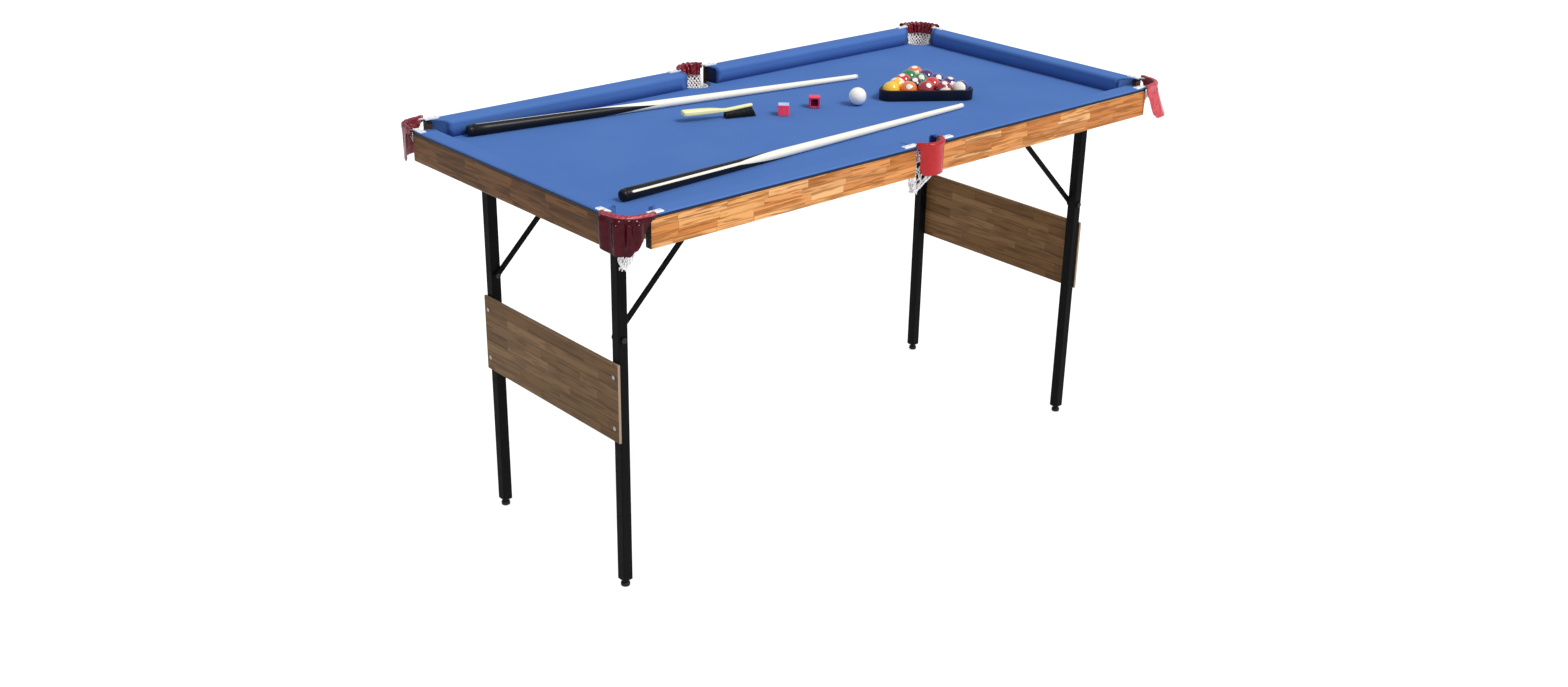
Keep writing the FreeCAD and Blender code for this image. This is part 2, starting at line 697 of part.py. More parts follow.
def keeper_bracket(x, spread, sy, plate):
    """A plate under the bed with an ear and a stub pin for a brace's notch, and its two screws."""
    outer, inner = brace_layers(spread)
    half_x, depth = KEEPER_PLATE
    screw_x, screw_in = KEEPER_SCREW
    ear_out = inner - EAR_ROOM
    ear_in = ear_out - EAR_THICK
    base = box(x - half_x, x + half_x, sy * (ear_in - depth), sy * ear_out, plate, BOARD_BOTTOM)
    ear = box(x - EAR_HALF, x + EAR_HALF, sy * ear_in, sy * ear_out, KEEPER_Z - EAR_HALF, plate)
    start = V(x, sy * ear_in, KEEPER_Z)
    stop = V(x, sy * (outer - PIN_SHORT), KEEPER_Z)
    solid = base.fuse([ear, rod(start, stop, KEEPER_RADIUS)]).removeSplitter()
    y = sy * (ear_in - screw_in)
    return solid, [bracket_screw(x - screw_x, y), bracket_screw(x + screw_x, y)]


def make_brackets():
    """Under the bed: saddle brackets that hold the cross tubes, and stub-pin brackets for the braces."""
    plate = BOARD_BOTTOM - PLATE_THICK
    saddles = []
    keepers = []
    screws = []
    for end, sx in SIGN_X.items():
        spread = LEG_SPREAD[end]
        for sy in SIGN_Y.values():
            saddle, pair = saddle_bracket(sx * PIVOT_X, sy * (spread - BRACKET_IN), plate)
            saddles.append(saddle)
            screws += pair
            keeper, pair = keeper_bracket(sx * (PIVOT_X - BRACE_REACH), spread, sy, plate)
            keepers.append(keeper)
            screws += pair
    add("saddle_brackets", *[cut_all(one, screws) for one in saddles])
    add("keeper_brackets", *[cut_all(one, screws) for one in keepers])
    add("bracket_screws", *screws)
    nodes["bed_board"] = [cut_all(nodes["bed_board"][0], screws)]


# ---------------------------------------------------------------- playing set


def make_rack():
    """Fifteen balls in five rows inside their triangle, its leading corner towards the left."""
    cx, cy = RACK_CENTRE
    spacing = 2 * BALL_RADIUS + BALL_PLAY
    last = BALL_ROWS - 1
    row = spacing * math.sqrt(3) / 2
    z = TABLE_REST + BALL_RADIUS
    balls = []
    for k in range(BALL_ROWS):
        for j in range(k + 1):
            at = V(cx + (k - 2 * last / 3) * row, cy + (j - k / 2) * spacing, z)
            balls.append(Part.makeSphere(BALL_RADIUS, at))
    inradius = last * spacing / (2 * math.sqrt(3)) + BALL_RADIUS + RACK_PLAY
    shells = []
    for reach, corner in ((inradius + RACK_WALL, RACK_CORNER), (inradius, RACK_CORNER - RACK_WALL)):
        points = []
        for angle in (180.0, 300.0, 60.0):
            a = math.radians(angle)
            points.append((cx + 2 * reach * math.cos(a), cy + 2 * reach * math.sin(a)))
        prism = plan_prism(points, TABLE_REST, TABLE_REST + RACK_HEIGHT)
        shells.append(eased(prism, corner, UP))
    rack = shells[0].cut(shells[1])
    for solid in balls + [rack]:
        solid.rotate(V(cx, cy, 0), UP, RACK_TURN)
    add("object_balls", *balls)
    add("triangle_rack", rack)
    add("cue_ball", Part.makeSphere(BALL_RADIUS, V(CUE_BALL[0], CUE_BALL[1], z)))


def make_cue(name, butt, tip):
    """A tapered cue lying on the bed, as its butt, shaft, ferrule and leather tip."""
    start = V(butt[0], butt[1], TABLE_REST + CUE_BUTT_RADIUS)
    end = V(tip[0], tip[1], TABLE_REST + CUE_TIP_RADIUS)
    axis = end - start
    length = axis.Length
    axis.normalize()
    leather = length - LEATHER_LENGTH
    stops = [0.0, CUE_BUTT_SHARE * length, leather - FERRULE_LENGTH, leather, length]
    parts = []
    for near, far in zip(stops, stops[1:]):
        r0 = CUE_BUTT_RADIUS + (CUE_TIP_RADIUS - CUE_BUTT_RADIUS) * near / length
        r1 = CUE_BUTT_RADIUS + (CUE_TIP_RADIUS - CUE_BUTT_RADIUS) * far / length
        parts.append(Part.makeCone(r0, r1, far - near, start + axis * near, axis))
    add(name, *parts)


def make_brush():
    """A small table brush that stands on its bristles, its head rising a little towards the tip."""
    length, half, thick = BRUSH_HEAD
    back, lap, grip_half, grip_thick = BRUSH_GRIP
    low = TABLE_REST + BRUSH_HEAD_LOW
    grip_low = TABLE_REST + BRUSH_GRIP_LOW
    head = eased(box(0, length, -half, half, low, low + thick), BRUSH_HEAD_ROUND, UP)
    above = box(-length, 2 * length, -length, length, low, low + length)
    for solid in (head, above):
        solid.rotate(V(0, 0, low), V(0, 1, 0), -BRUSH_HEAD_RISE)
    grip = box(-back, lap, -grip_half, grip_half, grip_low, grip_low + grip_thick)
    handle = head.fuse(eased(grip, BRUSH_GRIP_ROUND, UP)).removeSplitter()
    top = low + length / 4
    outline = [(x, TABLE_REST) for x in BRISTLE_FOOT] + [(x, top) for x in reversed(BRISTLE_TOP)]
    face = outline_face(outline, lambda x, z: V(x, -BRISTLE_HALF, z))
    bristles = cut_all(face.extrude(V(0, 2 * BRISTLE_HALF, 0)), [above, handle])
    for solid in (handle, bristles):
        solid.rotate(ORIGIN, UP, BRUSH_TURN)
        solid.translate(V(BRUSH_NECK[0], BRUSH_NECK[1], 0))
    add("brush_handle", handle)
    add("brush_bristles", bristles)


def make_chalk():
    cubes = []
    for (x, y), cup in zip(CHALK_AT, (V(0, 0, 1), V(0, -1, 0))):
        centre = V(x, y, TABLE_REST + CHALK / 2)
        half = CHALK / 2
        cube = box(x - half, x + half, y - half, y + half, TABLE_REST, TABLE_REST + CHALK)
        dish_radius, dish_out = CHALK_DISH
        dish = Part.makeSphere(dish_radius, centre + cup * (half + dish_out))
        cube = cube.cut(dish)
        cube.rotate(centre, UP, CHALK_TURN)
        cubes.append(cube)
    add("chalk_cubes", *cubes)


def build():
    make_aprons()
    make_rails()
    make_bed()
    make_pockets()
    for end in SIGN_X:
        make_leg_frame(end)
        for side in SIGN_Y:
            make_brace(end, side)
            make_foot(end, side)
    make_brackets()
    make_rack()
    for side, (butt, tip) in CUES.items():
        make_cue(f"cue_{side}", butt, tip)
    make_brush()
    make_chalk()


build()
os.makedirs("parts", exist_ok=True)
for node, group in nodes.items():
    solids = [solid for shape in group for solid in shape.Solids]
    shape = solids[0] if len(solids) == 1 else Part.makeCompound(solids)
    shape.exportStep(f"parts/{node}.step")
    bad = [solid for solid in solids if not solid.isValid() or solid.Volume <= 0]
    note = f", {len(bad)} bad" if bad else ""
    print(f"{node}: {len(solids)} solids, {sum(s.Volume for s in solids) / 1000:.2f} cm3{note}")
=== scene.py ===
import math
import random
from collections import namedtuple

import bmesh
import bpy
from mathutils import Matrix, Vector


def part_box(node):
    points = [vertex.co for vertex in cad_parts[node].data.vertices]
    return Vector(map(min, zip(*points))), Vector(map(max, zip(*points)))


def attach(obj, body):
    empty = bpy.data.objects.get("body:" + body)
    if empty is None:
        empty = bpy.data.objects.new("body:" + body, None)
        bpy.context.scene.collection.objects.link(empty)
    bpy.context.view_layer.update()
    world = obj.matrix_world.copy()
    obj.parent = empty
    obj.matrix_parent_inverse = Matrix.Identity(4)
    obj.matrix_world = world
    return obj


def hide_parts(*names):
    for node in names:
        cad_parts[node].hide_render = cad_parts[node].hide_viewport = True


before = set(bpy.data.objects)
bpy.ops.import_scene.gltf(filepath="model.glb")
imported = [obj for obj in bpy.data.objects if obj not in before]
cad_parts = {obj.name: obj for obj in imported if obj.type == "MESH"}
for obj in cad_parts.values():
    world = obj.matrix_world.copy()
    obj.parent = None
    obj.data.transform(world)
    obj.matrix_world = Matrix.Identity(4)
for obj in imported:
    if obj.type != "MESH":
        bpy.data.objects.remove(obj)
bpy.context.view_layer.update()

# The looks of a folding mini pool table, in metres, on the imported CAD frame. X runs along the
# table, Y across it and Z up. Left and right are -X and +X, front and rear are -Y and +Y. "In" is
# a distance from an apron's outer face towards the middle of the table.

MM = 0.001
UP = Vector((0, 0, 1))
SIGN_X = {"left": -1, "right": 1}
SIGN_Y = {"front": -1, "rear": 1}
CORNERS = [(side, end) for side in SIGN_Y for end in SIGN_X]

# Sizes read from the frame.
HALF_X = -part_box("apron_left_end")[0].x
HALF_Y = -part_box("apron_front_left")[0].y
APRON_IN = HALF_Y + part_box("apron_front_left")[1].y
TRIM_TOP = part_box("trim_strips")[1].z
RAIL_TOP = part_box("rail_cloth_left_end")[1].z
BED_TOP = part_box("bed_cloth")[1].z
BED_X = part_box("bed_cloth")[1].x
BED_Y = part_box("bed_cloth")[1].y
CORNER_GAP = HALF_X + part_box("apron_front_left")[0].x
SIDE_GAP = -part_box("apron_front_left")[1].x
NET_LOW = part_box("pocket_nets")[0].z
NET_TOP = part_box("pocket_nets")[1].z
BOARD_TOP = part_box("end_panel_left")[1].z
SET_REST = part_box("cue_ball")[0].z
BALL_RADIUS = (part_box("cue_ball")[1].z - SET_REST) / 2

# Sizes that the frame's boxes don't give. They follow the CAD model, but the cushions' noses are
# steeper and the leathers' rolled rims are thinner.
RAIL_EDGE = 1 * MM
EDGE_RADIUS = 2 * MM
NOSE_IN = 40 * MM
NOSE_RADIUS = 8 * MM
NOSE_UNDER = (0.3 * MM, 6 * MM)
NOSE_FOOT = 0.5 * MM
CORNER_WIDER = 27 * MM
SIDE_WIDER = 5 * MM
CORNER_IN = 35 * MM
CORNER_RADIUS = 37 * MM
SIDE_IN = 19 * MM
SIDE_RADIUS = 35.8 * MM
NOTCH_RADIUS = 31 * MM
NET_LIP = 727 * MM
ROLL_RADIUS = 4.6 * MM
ROLL_Z = RAIL_TOP + 1.6 * MM

# Thicknesses of the sheets, and the leathers' own sizes.
CLOTH_THICK = 1.2 * MM
LEATHER_THICK = 1.1 * MM
PAPER_THICK = 0.2 * MM
BAND_DEPTH = 19 * MM
BAND_DRAWN = 5 * MM
RIM_SPREAD = 6.5 * MM
NET_TAIL = 6 * MM

# Sizes and places of the loose playing set on the bed.
CUE_BUTT = 11 * MM
CUE_TIP = 5 * MM
FERRULE = 18 * MM
TIP = 6 * MM
BALL_SPACING = 2 * BALL_RADIUS + 0.1 * MM
RACK_MIDDLE = Vector((325 * MM, -12 * MM, 0))
RACK_TURN = Matrix.Rotation(math.radians(-5), 3, "Z")
BRUSH_MIDDLE = Vector((-120 * MM, 95 * MM, 0))
BRUSH_TURN = Matrix.Rotation(math.radians(-18), 3, "Z")
CHALK_HALF = 11 * MM
CHALK_ROUND = 0.9 * MM


# ---------------------------------------------------------------- meshes


def heading(turn):
    """The level direction at an angle from +X."""
    return Vector((math.cos(turn), math.sin(turn), 0))


def linked(name, data):
    """A new object in the scene."""
    obj = bpy.data.objects.new(name, data)
    bpy.context.scene.collection.objects.link(obj)
    return obj


def placed(origin, turn):
    """The matrix that turns a mesh about its own origin and moves it to its spot."""
    return Matrix.Translation(origin) @ turn.to_4x4()


def piece(name, verts, faces, material, replaces=(), body="table", spot=Matrix.Identity(4)):
    """A new smooth mesh at its spot. It takes a material, hides the CAD nodes it stands for and rides on a
    body.
    """
    mesh = bpy.data.meshes.new(name)
    mesh.from_pydata([tuple(v) for v in verts], [], faces)
    mesh.validate()
    mesh.update()
    mesh.shade_smooth()
    mesh.materials.append(material)
    obj = linked(name, mesh)
    obj.matrix_world = spot
    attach(obj, body)
    if replaces:
        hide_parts(*replaces)
    return obj


def grid_faces(rows, cols, wrap_rows=False, wrap_cols=False, start=0):
    """Four-sided faces between points that are numbered row by row."""
    faces = []
    for i in range(rows if wrap_rows else rows - 1):
        for j in range(cols if wrap_cols else cols - 1):
            a = start + i * cols + j
            b = start + i * cols + (j + 1) % cols
            c = start + (i + 1) % rows * cols + (j + 1) % cols
            d = start + (i + 1) % rows * cols + j
            faces.append((a, b, c, d))
    return faces


def closed_rings(rows, cols, start=0):
    """The skin over rings of points that are numbered ring by ring, with both ends closed."""
    last = start + (rows - 1) * cols
    faces = grid_faces(rows, cols, wrap_cols=True, start=start)
    faces.append(tuple(range(start + cols - 1, start - 1, -1)))
    faces.append(tuple(range(last, last + cols)))
    return faces


def tube(path, radius, sides, verts, faces):
    """A round string along a path, added to a mesh's verts and faces."""
    faces += closed_rings(len(path), sides, start=len(verts))
    side = None
    for before, point, after in zip([path[0], *path], path, [*path[1:], path[-1]]):
        run = (after - before).normalized()
        side = (side - run * side.dot(run) if side else run.orthogonal()).normalized()
        other = run.cross(side)
        for k in range(sides):
            turn = 2 * math.pi * k / sides
            verts.append(point + (side * math.cos(turn) + other * math.sin(turn)) * radius)


def lathe(profile, sides, centre=Vector()):
    """The points of a solid of revolution about Z, from (radius, height) points that go up."""
    verts = []
    for radius, height in profile:
        for k in range(sides):
            verts.append(centre + heading(2 * math.pi * k / sides) * radius + UP * height)
    return verts


def knot(centre, radius, verts, faces):
    """A small lump of string where two strings cross."""
    rows, cols = 4, 6
    rises = [math.pi * (i + 0.5) / rows for i in range(rows)]
    faces += closed_rings(rows, cols, start=len(verts))
    verts += lathe([(radius * math.sin(rise), -radius * math.cos(rise)) for rise in rises], cols, centre)


def cube_skin(count, shape):
    """A cube's six sides as grids, where shape takes each point of a cube of half size 1 to its place."""
    verts = []
    faces = []
    for axis in range(3):
        for sign in (-1, 1):
            faces += grid_faces(count + 1, count + 1, start=len(verts))
            for i in range(count + 1):
                for j in range(count + 1):
                    point = [0.0, 0.0, 0.0]
                    point[axis] = sign
                    point[(axis + 1) % 3] = (2 * i / count - 1) * sign
                    point[(axis + 2) % 3] = 2 * j / count - 1
                    verts.append(shape(point))
    return verts, faces


def arc(centre, radius, start, stop, count):
    """Points of an arc in a section, by angle in degrees from the first axis."""
    points = []
    for k in range(count + 1):
        turn = math.radians(start + (stop - start) * k / count)
        points.append((centre[0] + radius * math.cos(turn), centre[1] + radius * math.sin(turn)))
    return points


def face_outwards(obj, weld=False):
    """Turns every face of a mesh to look outwards, once the points that coincide are joined."""
    made = bmesh.new()
    made.from_mesh(obj.data)
    if weld:
        bmesh.ops.remove_doubles(made, verts=made.verts, dist=0.01 * MM)
    bmesh.ops.recalc_face_normals(made, faces=made.faces)
    made.to_mesh(obj.data)
    made.free()


def thicken(obj, thickness, offset=-1.0):
    """Gives a sheet its thickness, on the inner side of its faces unless told otherwise."""
    solid = obj.modifiers.new("thickness", "SOLIDIFY")
    solid.thickness = thickness
    solid.offset = offset


# ---------------------------------------------------------------- materials


class Finish:
    """A material whose nodes are added one call at a time."""

    def __init__(self, name, colour, roughness, **sockets):
        self.material = bpy.data.materials.new(name)
        self.material.use_nodes = True
        self.tree = self.material.node_tree
        self.shader = self.tree.nodes["Principled BSDF"]
        self.shader.inputs["Base Color"].default_value = (*colour, 1)
        self.shader.inputs["Roughness"].default_value = roughness
        self.tone = colour
        for key, value in sockets.items():
            self.shader.inputs[key.replace("_", " ")].default_value = value
        self.place = self.node("TexCoord").outputs["Object"]

    def node(self, kind, *links, **settings):
        """A node with its inputs set in order; an input can be a value, another output or None."""
        made = self.tree.nodes.new("ShaderNode" + kind)
        for key, value in settings.items():
            setattr(made, key, value)
        for socket, value in zip(made.inputs, links):
            self.feed(socket, value)
        return made

    def feed(self, socket, value):
        if isinstance(value, bpy.types.NodeSocket):
            self.tree.links.new(value, socket)
        elif value is not None:
            socket.default_value = value

    def math(self, operation, *values):
        return self.node("Math", *values, operation=operation).outputs[0]

    def parts(self, vector=None):
        return self.node("SeparateXYZ", vector or self.place).outputs

    def join(self, x, y, z=0.0):
        return self.node("CombineXYZ", x, y, z).outputs[0]

    def noise(self, scale, detail=3.0, rough=0.5, vector=None):
        """Noise with one scale, or drawn out by a scale for each axis."""
        vector = vector or self.place
        if isinstance(scale, tuple):
            mapping = self.node("Mapping", vector)
            mapping.inputs["Scale"].default_value = scale
            vector = mapping.outputs[0]
            scale = 1.0
        made = self.node("TexNoise")
        self.feed(made.inputs["Vector"], vector)
        made.inputs["Scale"].default_value = scale
        made.inputs["Detail"].default_value = detail
        made.inputs["Roughness"].default_value = rough
        return made.outputs["Fac"]

    def ramp(self, factor, *stops, smooth=False):
        """Values or colours by position along a factor."""
        made = self.node("ValToRGB", factor)
        made.color_ramp.interpolation = "EASE" if smooth else "LINEAR"
        points = made.color_ramp.elements
        while len(points) < len(stops):
            points.new(0.5)
        for point, (position, value) in zip(points, stops):
            point.position = position
            point.color = (*value, 1) if isinstance(value, tuple) else (value, value, value, 1)
        return made.outputs[0]

    def mix(self, factor, first, second):
        made = self.node("Mix", data_type="RGBA")
        self.feed(made.inputs[0], factor)
        for socket, value in ((made.inputs[6], first), (made.inputs[7], second)):
            self.feed(socket, (*value, 1) if isinstance(value, tuple) else value)
        return made.outputs[2]

    def cover(self, mask, colour):
        """Another colour over the base colour so far, by a mask from 0 to 1."""
        self.tone = self.mix(mask, self.tone, colour)
        self.feed(self.shader.inputs["Base Color"], self.tone)

    def blend(self, factor, start, stop, colour, smooth=False):
        """Covers the base colour by the shares at two positions along a factor."""
        self.cover(self.ramp(factor, start, stop, smooth=smooth), colour)

    def rough(self, factor, *stops):
        self.feed(self.shader.inputs["Roughness"], self.ramp(factor, *stops))

    def bump(self, height, distance, strength=1.0):
        """Relief over what is already there, by a height from 0 to 1 and a depth in metres."""
        made = self.node("Bump")
        made.inputs["Strength"].default_value = strength
        made.inputs["Distance"].default_value = distance
        self.feed(made.inputs["Height"], height)
        normal = self.shader.inputs["Normal"]
        if normal.is_linked:
            self.feed(made.inputs["Normal"], normal.links[0].from_socket)
        self.feed(normal, made.outputs[0])


def linear(red, green, blue):
    """A colour given as it looks on a screen, as the light that it stands for."""
    out = []
    for value in (red, green, blue):
        share = value / 255
        out.append(share / 12.92 if share <= 0.04045 else ((share + 0.055) / 1.055) ** 2.4)
    return tuple(out)


def toned(colour, factor):
    """A colour made lighter or darker by a factor."""
    return tuple(factor * c for c in colour)


def stave_wood(name, along, tones, streak, row, stave, edge=None, end=None, inner=None, figure=1.0):
    """Butcher-block staves in rows up the board, each with its own tone and its own grain.

    edge, end and inner are the colours of a board's narrow faces, of its ends and of the face
    towards the middle of the table; the end and inner colours given here are painted shade, the inner
    one over bare board. figure is how strongly the grain is marked.
    """
    finish = Finish(name, tones[0], 0.5, Specular_IOR_Level=0.12)
    x, y, z = finish.parts()
    run = x if along == "X" else y
    height = finish.math("DIVIDE", z, row)
    level = finish.math("FLOOR", height)
    shift = finish.node("TexWhiteNoise", None, level, noise_dimensions="1D").outputs["Value"]
    far = finish.math("ADD", finish.math("DIVIDE", run, stave), finish.math("MULTIPLY", shift, 9.0))
    wander = finish.node("TexNoise", noise_dimensions="2D")
    finish.feed(wander.inputs["Vector"], finish.join(finish.math("MULTIPLY", far, 0.7), level))
    wander.inputs["Scale"].default_value = 1.0
    far = finish.math("ADD", far, finish.math("MULTIPLY", wander.outputs["Fac"], 1.1))
    cell = finish.join(finish.math("FLOOR", far), level)
    pick = finish.node("TexWhiteNoise", cell, noise_dimensions="2D").outputs["Value"]
    finish.tone = finish.ramp(pick, *[((k + 0.5) / len(tones), tone) for k, tone in enumerate(tones)])
    flow = finish.join(run, finish.math("MULTIPLY", pick, 37.0), z)
    broad = finish.noise((9, 9, 120), 2.0, 0.5, flow)
    knots = finish.noise((17, 17, 260), 2.0, 0.5, flow)
    fine = finish.noise((60, 1, 1500), 3.0, 0.6, flow)
    finish.blend(broad, (0.47, 0.0), (0.64, 0.7 * figure), streak, smooth=True)
    finish.blend(knots, (0.53, 0.0), (0.66, 0.8 * figure), streak, smooth=True)
    finish.blend(fine, (0.4, 0.0), (0.8, 0.2), streak)
    along_edge = finish.math("MULTIPLY", finish.math("PINGPONG", far, 0.5), stave / (0.5 * MM))
    up_edge = finish.math("MULTIPLY", finish.math("PINGPONG", height, 0.5), row / (0.45 * MM))
    seams = [finish.ramp(distance, (0.0, 1.0), (1.0, 0.0)) for distance in (along_edge, up_edge)]
    seam = finish.math("MAXIMUM", *seams)
    finish.cover(finish.math("MULTIPLY", seam, 0.7), streak)
    finish.blend(finish.math("FRACT", height), (0.0, 0.45), (0.16, 0.0), streak, smooth=True)
    normal = finish.node("TexCoord").outputs["Normal"]
    facing = [finish.math("ABSOLUTE", part) for part in finish.parts(normal)]
    # The inner colour given is painted shade over bare board.
    if inner:
        across, turned = (y, 1) if along == "X" else (x, 0)
        outwards = finish.math("MULTIPLY", across, finish.parts(normal)[turned])
        finish.cover(finish.math("LESS_THAN", outwards, -0.1), inner)
    if edge:
        finish.blend(facing[0], (0.5, 1.0), (0.8, 0.0), edge)
    if end:
        finish.blend(facing[0 if along == "X" else 1], (0.6, 0.0), (0.8, 1.0), end)
    finish.rough(fine, (0.2, 0.40), (0.8, 0.56))
    finish.bump(fine, 0.08 * MM, 0.5)
    finish.bump(finish.math("SUBTRACT", 1.0, seam), 0.12 * MM, 0.4)
    return finish.material


def cloth(name, colour, deep):
    """Napped billiard cloth: a short felted fibre over a fine weave."""
    finish = Finish(name, colour, 0.92, Sheen_Weight=0.03, Sheen_Roughness=0.5, Specular_IOR_Level=0.06)
    fibre = finish.noise((2600, 1170, 2600), 4.0, 0.65)
    nap = finish.noise(420)
    patch = finish.noise(7, 2.0)
    finish.blend(fibre, (0.3, 0.55), (0.7, 0.0), deep)
    finish.blend(patch, (0.3, 0.22), (0.7, 0.0), deep, smooth=True)
    finish.bump(fibre, 0.18 * MM, 0.55)
    finish.bump(nap, 0.12 * MM, 0.35)
    return finish.material


def leatherette(name, colour, deep, roughness, coat, crumple=0.2, shine=0.22):
    """Soft glossy vinyl with a fine pebble grain, crumpled more or less, with painted shade in the crumple's
    hollows.
    """
    finish = Finish(name, colour, roughness, Coat_Weight=coat, Coat_Roughness=0.1, Specular_IOR_Level=shine)
    cells = finish.node("TexVoronoi", feature="DISTANCE_TO_EDGE")
    finish.feed(cells.inputs["Vector"], finish.place)
    cells.inputs["Scale"].default_value = 900
    grain = finish.ramp(cells.outputs["Distance"], (0.0, 0.0), (0.25, 1.0))
    crease = finish.noise(130, 2.0)
    cloud = finish.noise(30)
    # Painted shade: the deep colour lies where the crumple's bump is low.
    finish.blend(crease, (0.38, 0.6), (0.6, 0.0), deep, smooth=True)
    finish.rough(cloud, (0.3, roughness - 0.06), (0.7, roughness + 0.06))
    finish.bump(grain, 0.06 * MM, 0.2)
    finish.bump(crease, 3.0 * MM, crumple)
    return finish.material


def string(name):
    """Twisted white cotton cord."""
    finish = Finish(name, linear(254, 254, 254), 0.85, Sheen_Weight=0.2, Subsurface_Weight=0.05)
    twist = finish.node("TexWave", wave_type="BANDS", bands_direction="DIAGONAL")
    finish.feed(twist.inputs["Vector"], finish.place)
    twist.inputs["Scale"].default_value = 520
    twist.inputs["Distortion"].default_value = 2.0
    finish.blend(finish.noise(60), (0.35, 0.5), (0.7, 0.0), linear(238, 238, 240))
    finish.bump(twist.outputs["Fac"], 0.25 * MM, 0.7)
    return finish.material


def powder_coat(name, shade, roughness):
    """Black powder coating with its orange peel, a little duller where it is thin."""
    finish = Finish(name, shade, roughness, Specular_IOR_Level=0.06)
    peel = finish.noise(650, 2.0)
    wear = finish.noise(38, 4.0)
    finish.blend(wear, (0.4, 0.0), (0.75, 0.6), toned(shade, 1.9))
    finish.rough(wear, (0.3, roughness - 0.06), (0.7, roughness + 0.1))
    finish.bump(peel, 0.06 * MM, 0.35)
    return finish.material


def plated(name, shade, roughness, metal):
    """Bright plated steel with fine scratches and a faint cloud."""
    finish = Finish(name, shade, roughness, Metallic=metal)
    scratch = finish.noise((220, 2600, 900), 3.0, 0.6)
    cloud = finish.noise(70)
    finish.rough(cloud, (0.3, roughness - 0.07), (0.7, roughness + 0.12))
    finish.blend(scratch, (0.45, 0.0), (0.75, 0.3), toned(shade, 0.75))
    finish.bump(scratch, 0.03 * MM, 0.3)
    return finish.material


def leg_fasteners(name, bright, dark, level):
    """Bare steel screws in the boards, and blacked bolts above a level for the braces."""
    finish = Finish(name, bright, 0.38, Metallic=0.5)
    cloud = finish.noise(240)
    finish.blend(cloud, (0.4, 0.0), (0.7, 0.5), toned(bright, 0.6))
    finish.cover(finish.math("GREATER_THAN", finish.parts()[2], level), dark)
    finish.rough(cloud, (0.3, 0.32), (0.7, 0.48))
    finish.bump(cloud, 0.04 * MM, 0.3)
    return finish.material


def moulded(name, shade, roughness):
    """Moulded plastic or rubber with a light mould texture, rubbed paler in places."""
    finish = Finish(name, shade, roughness, Specular_IOR_Level=0.25)
    grain = finish.noise(320)
    rub = finish.noise(25, 4.0)
    finish.blend(rub, (0.45, 0.0), (0.8, 0.5), tuple(1.5 * c + 0.004 for c in shade))
    finish.rough(rub, (0.3, roughness - 0.05), (0.7, roughness + 0.1))
    finish.bump(grain, 0.05 * MM, 0.3)
    return finish.material


def fibreboard(name, shade, deep):
    """Bare fibreboard: short pressed fibres in two tones."""
    finish = Finish(name, shade, 0.85)
    chips = finish.noise((260, 700, 700), 5.0, 0.7)
    cloud = finish.noise(9)
    finish.blend(chips, (0.35, 0.8), (0.62, 0.0), deep)
    finish.blend(cloud, (0.3, 0.25), (0.7, 0.0), deep)
    finish.bump(chips, 0.15 * MM, 0.5)
    return finish.material


def lacquered_wood(name, shade, deep):
    """Pale straight-grained wood under a thin lacquer, its grain along local X."""
    finish = Finish(name, shade, 0.32, Coat_Weight=0.1, Coat_Roughness=0.12)
    grain = finish.noise((14, 900, 900), 4.0, 0.6)
    cloud = finish.noise(30, 2.0)
    finish.blend(grain, (0.42, 0.0), (0.72, 0.75), deep)
    finish.blend(cloud, (0.35, 0.3), (0.65, 0.0), deep)
    finish.rough(grain, (0.3, 0.28), (0.7, 0.42))
    finish.bump(grain, 0.04 * MM, 0.3)
    return finish.material


CLOTH_BLUE = linear(83, 121, 184)
CLOTH_DEEP = linear(60, 97, 166)
HONEY = [
    linear(214, 146, 86),
    linear(182, 112, 56),
    linear(230, 178, 122),
    linear(196, 124, 64),
    linear(220, 160, 98),
]
HONEY_STREAK = linear(144, 84, 34)
# The end aprons' and end panels' staves: the honey staves made darker, partly as painted shade on the sides
# away from the light.
SHADED_BROWN = [linear(120, 90, 57), linear(98, 71, 40), linear(128, 98, 65), linear(108, 79, 46)]
SHADED_BROWN_STREAK = linear(66, 40, 16)
SHADED_UMBER = [linear(112, 75, 40), linear(88, 55, 26), linear(120, 84, 47), linear(98, 62, 30)]
PALE_EDGE = linear(150, 130, 112)
SHADED_END = linear(34, 24, 18)
# The faces towards the middle of the table: bare board, darkened by painted shade.
SHADED_BARE_INSIDE = linear(70, 52, 40)
APRON_ROW = 13.2 * MM

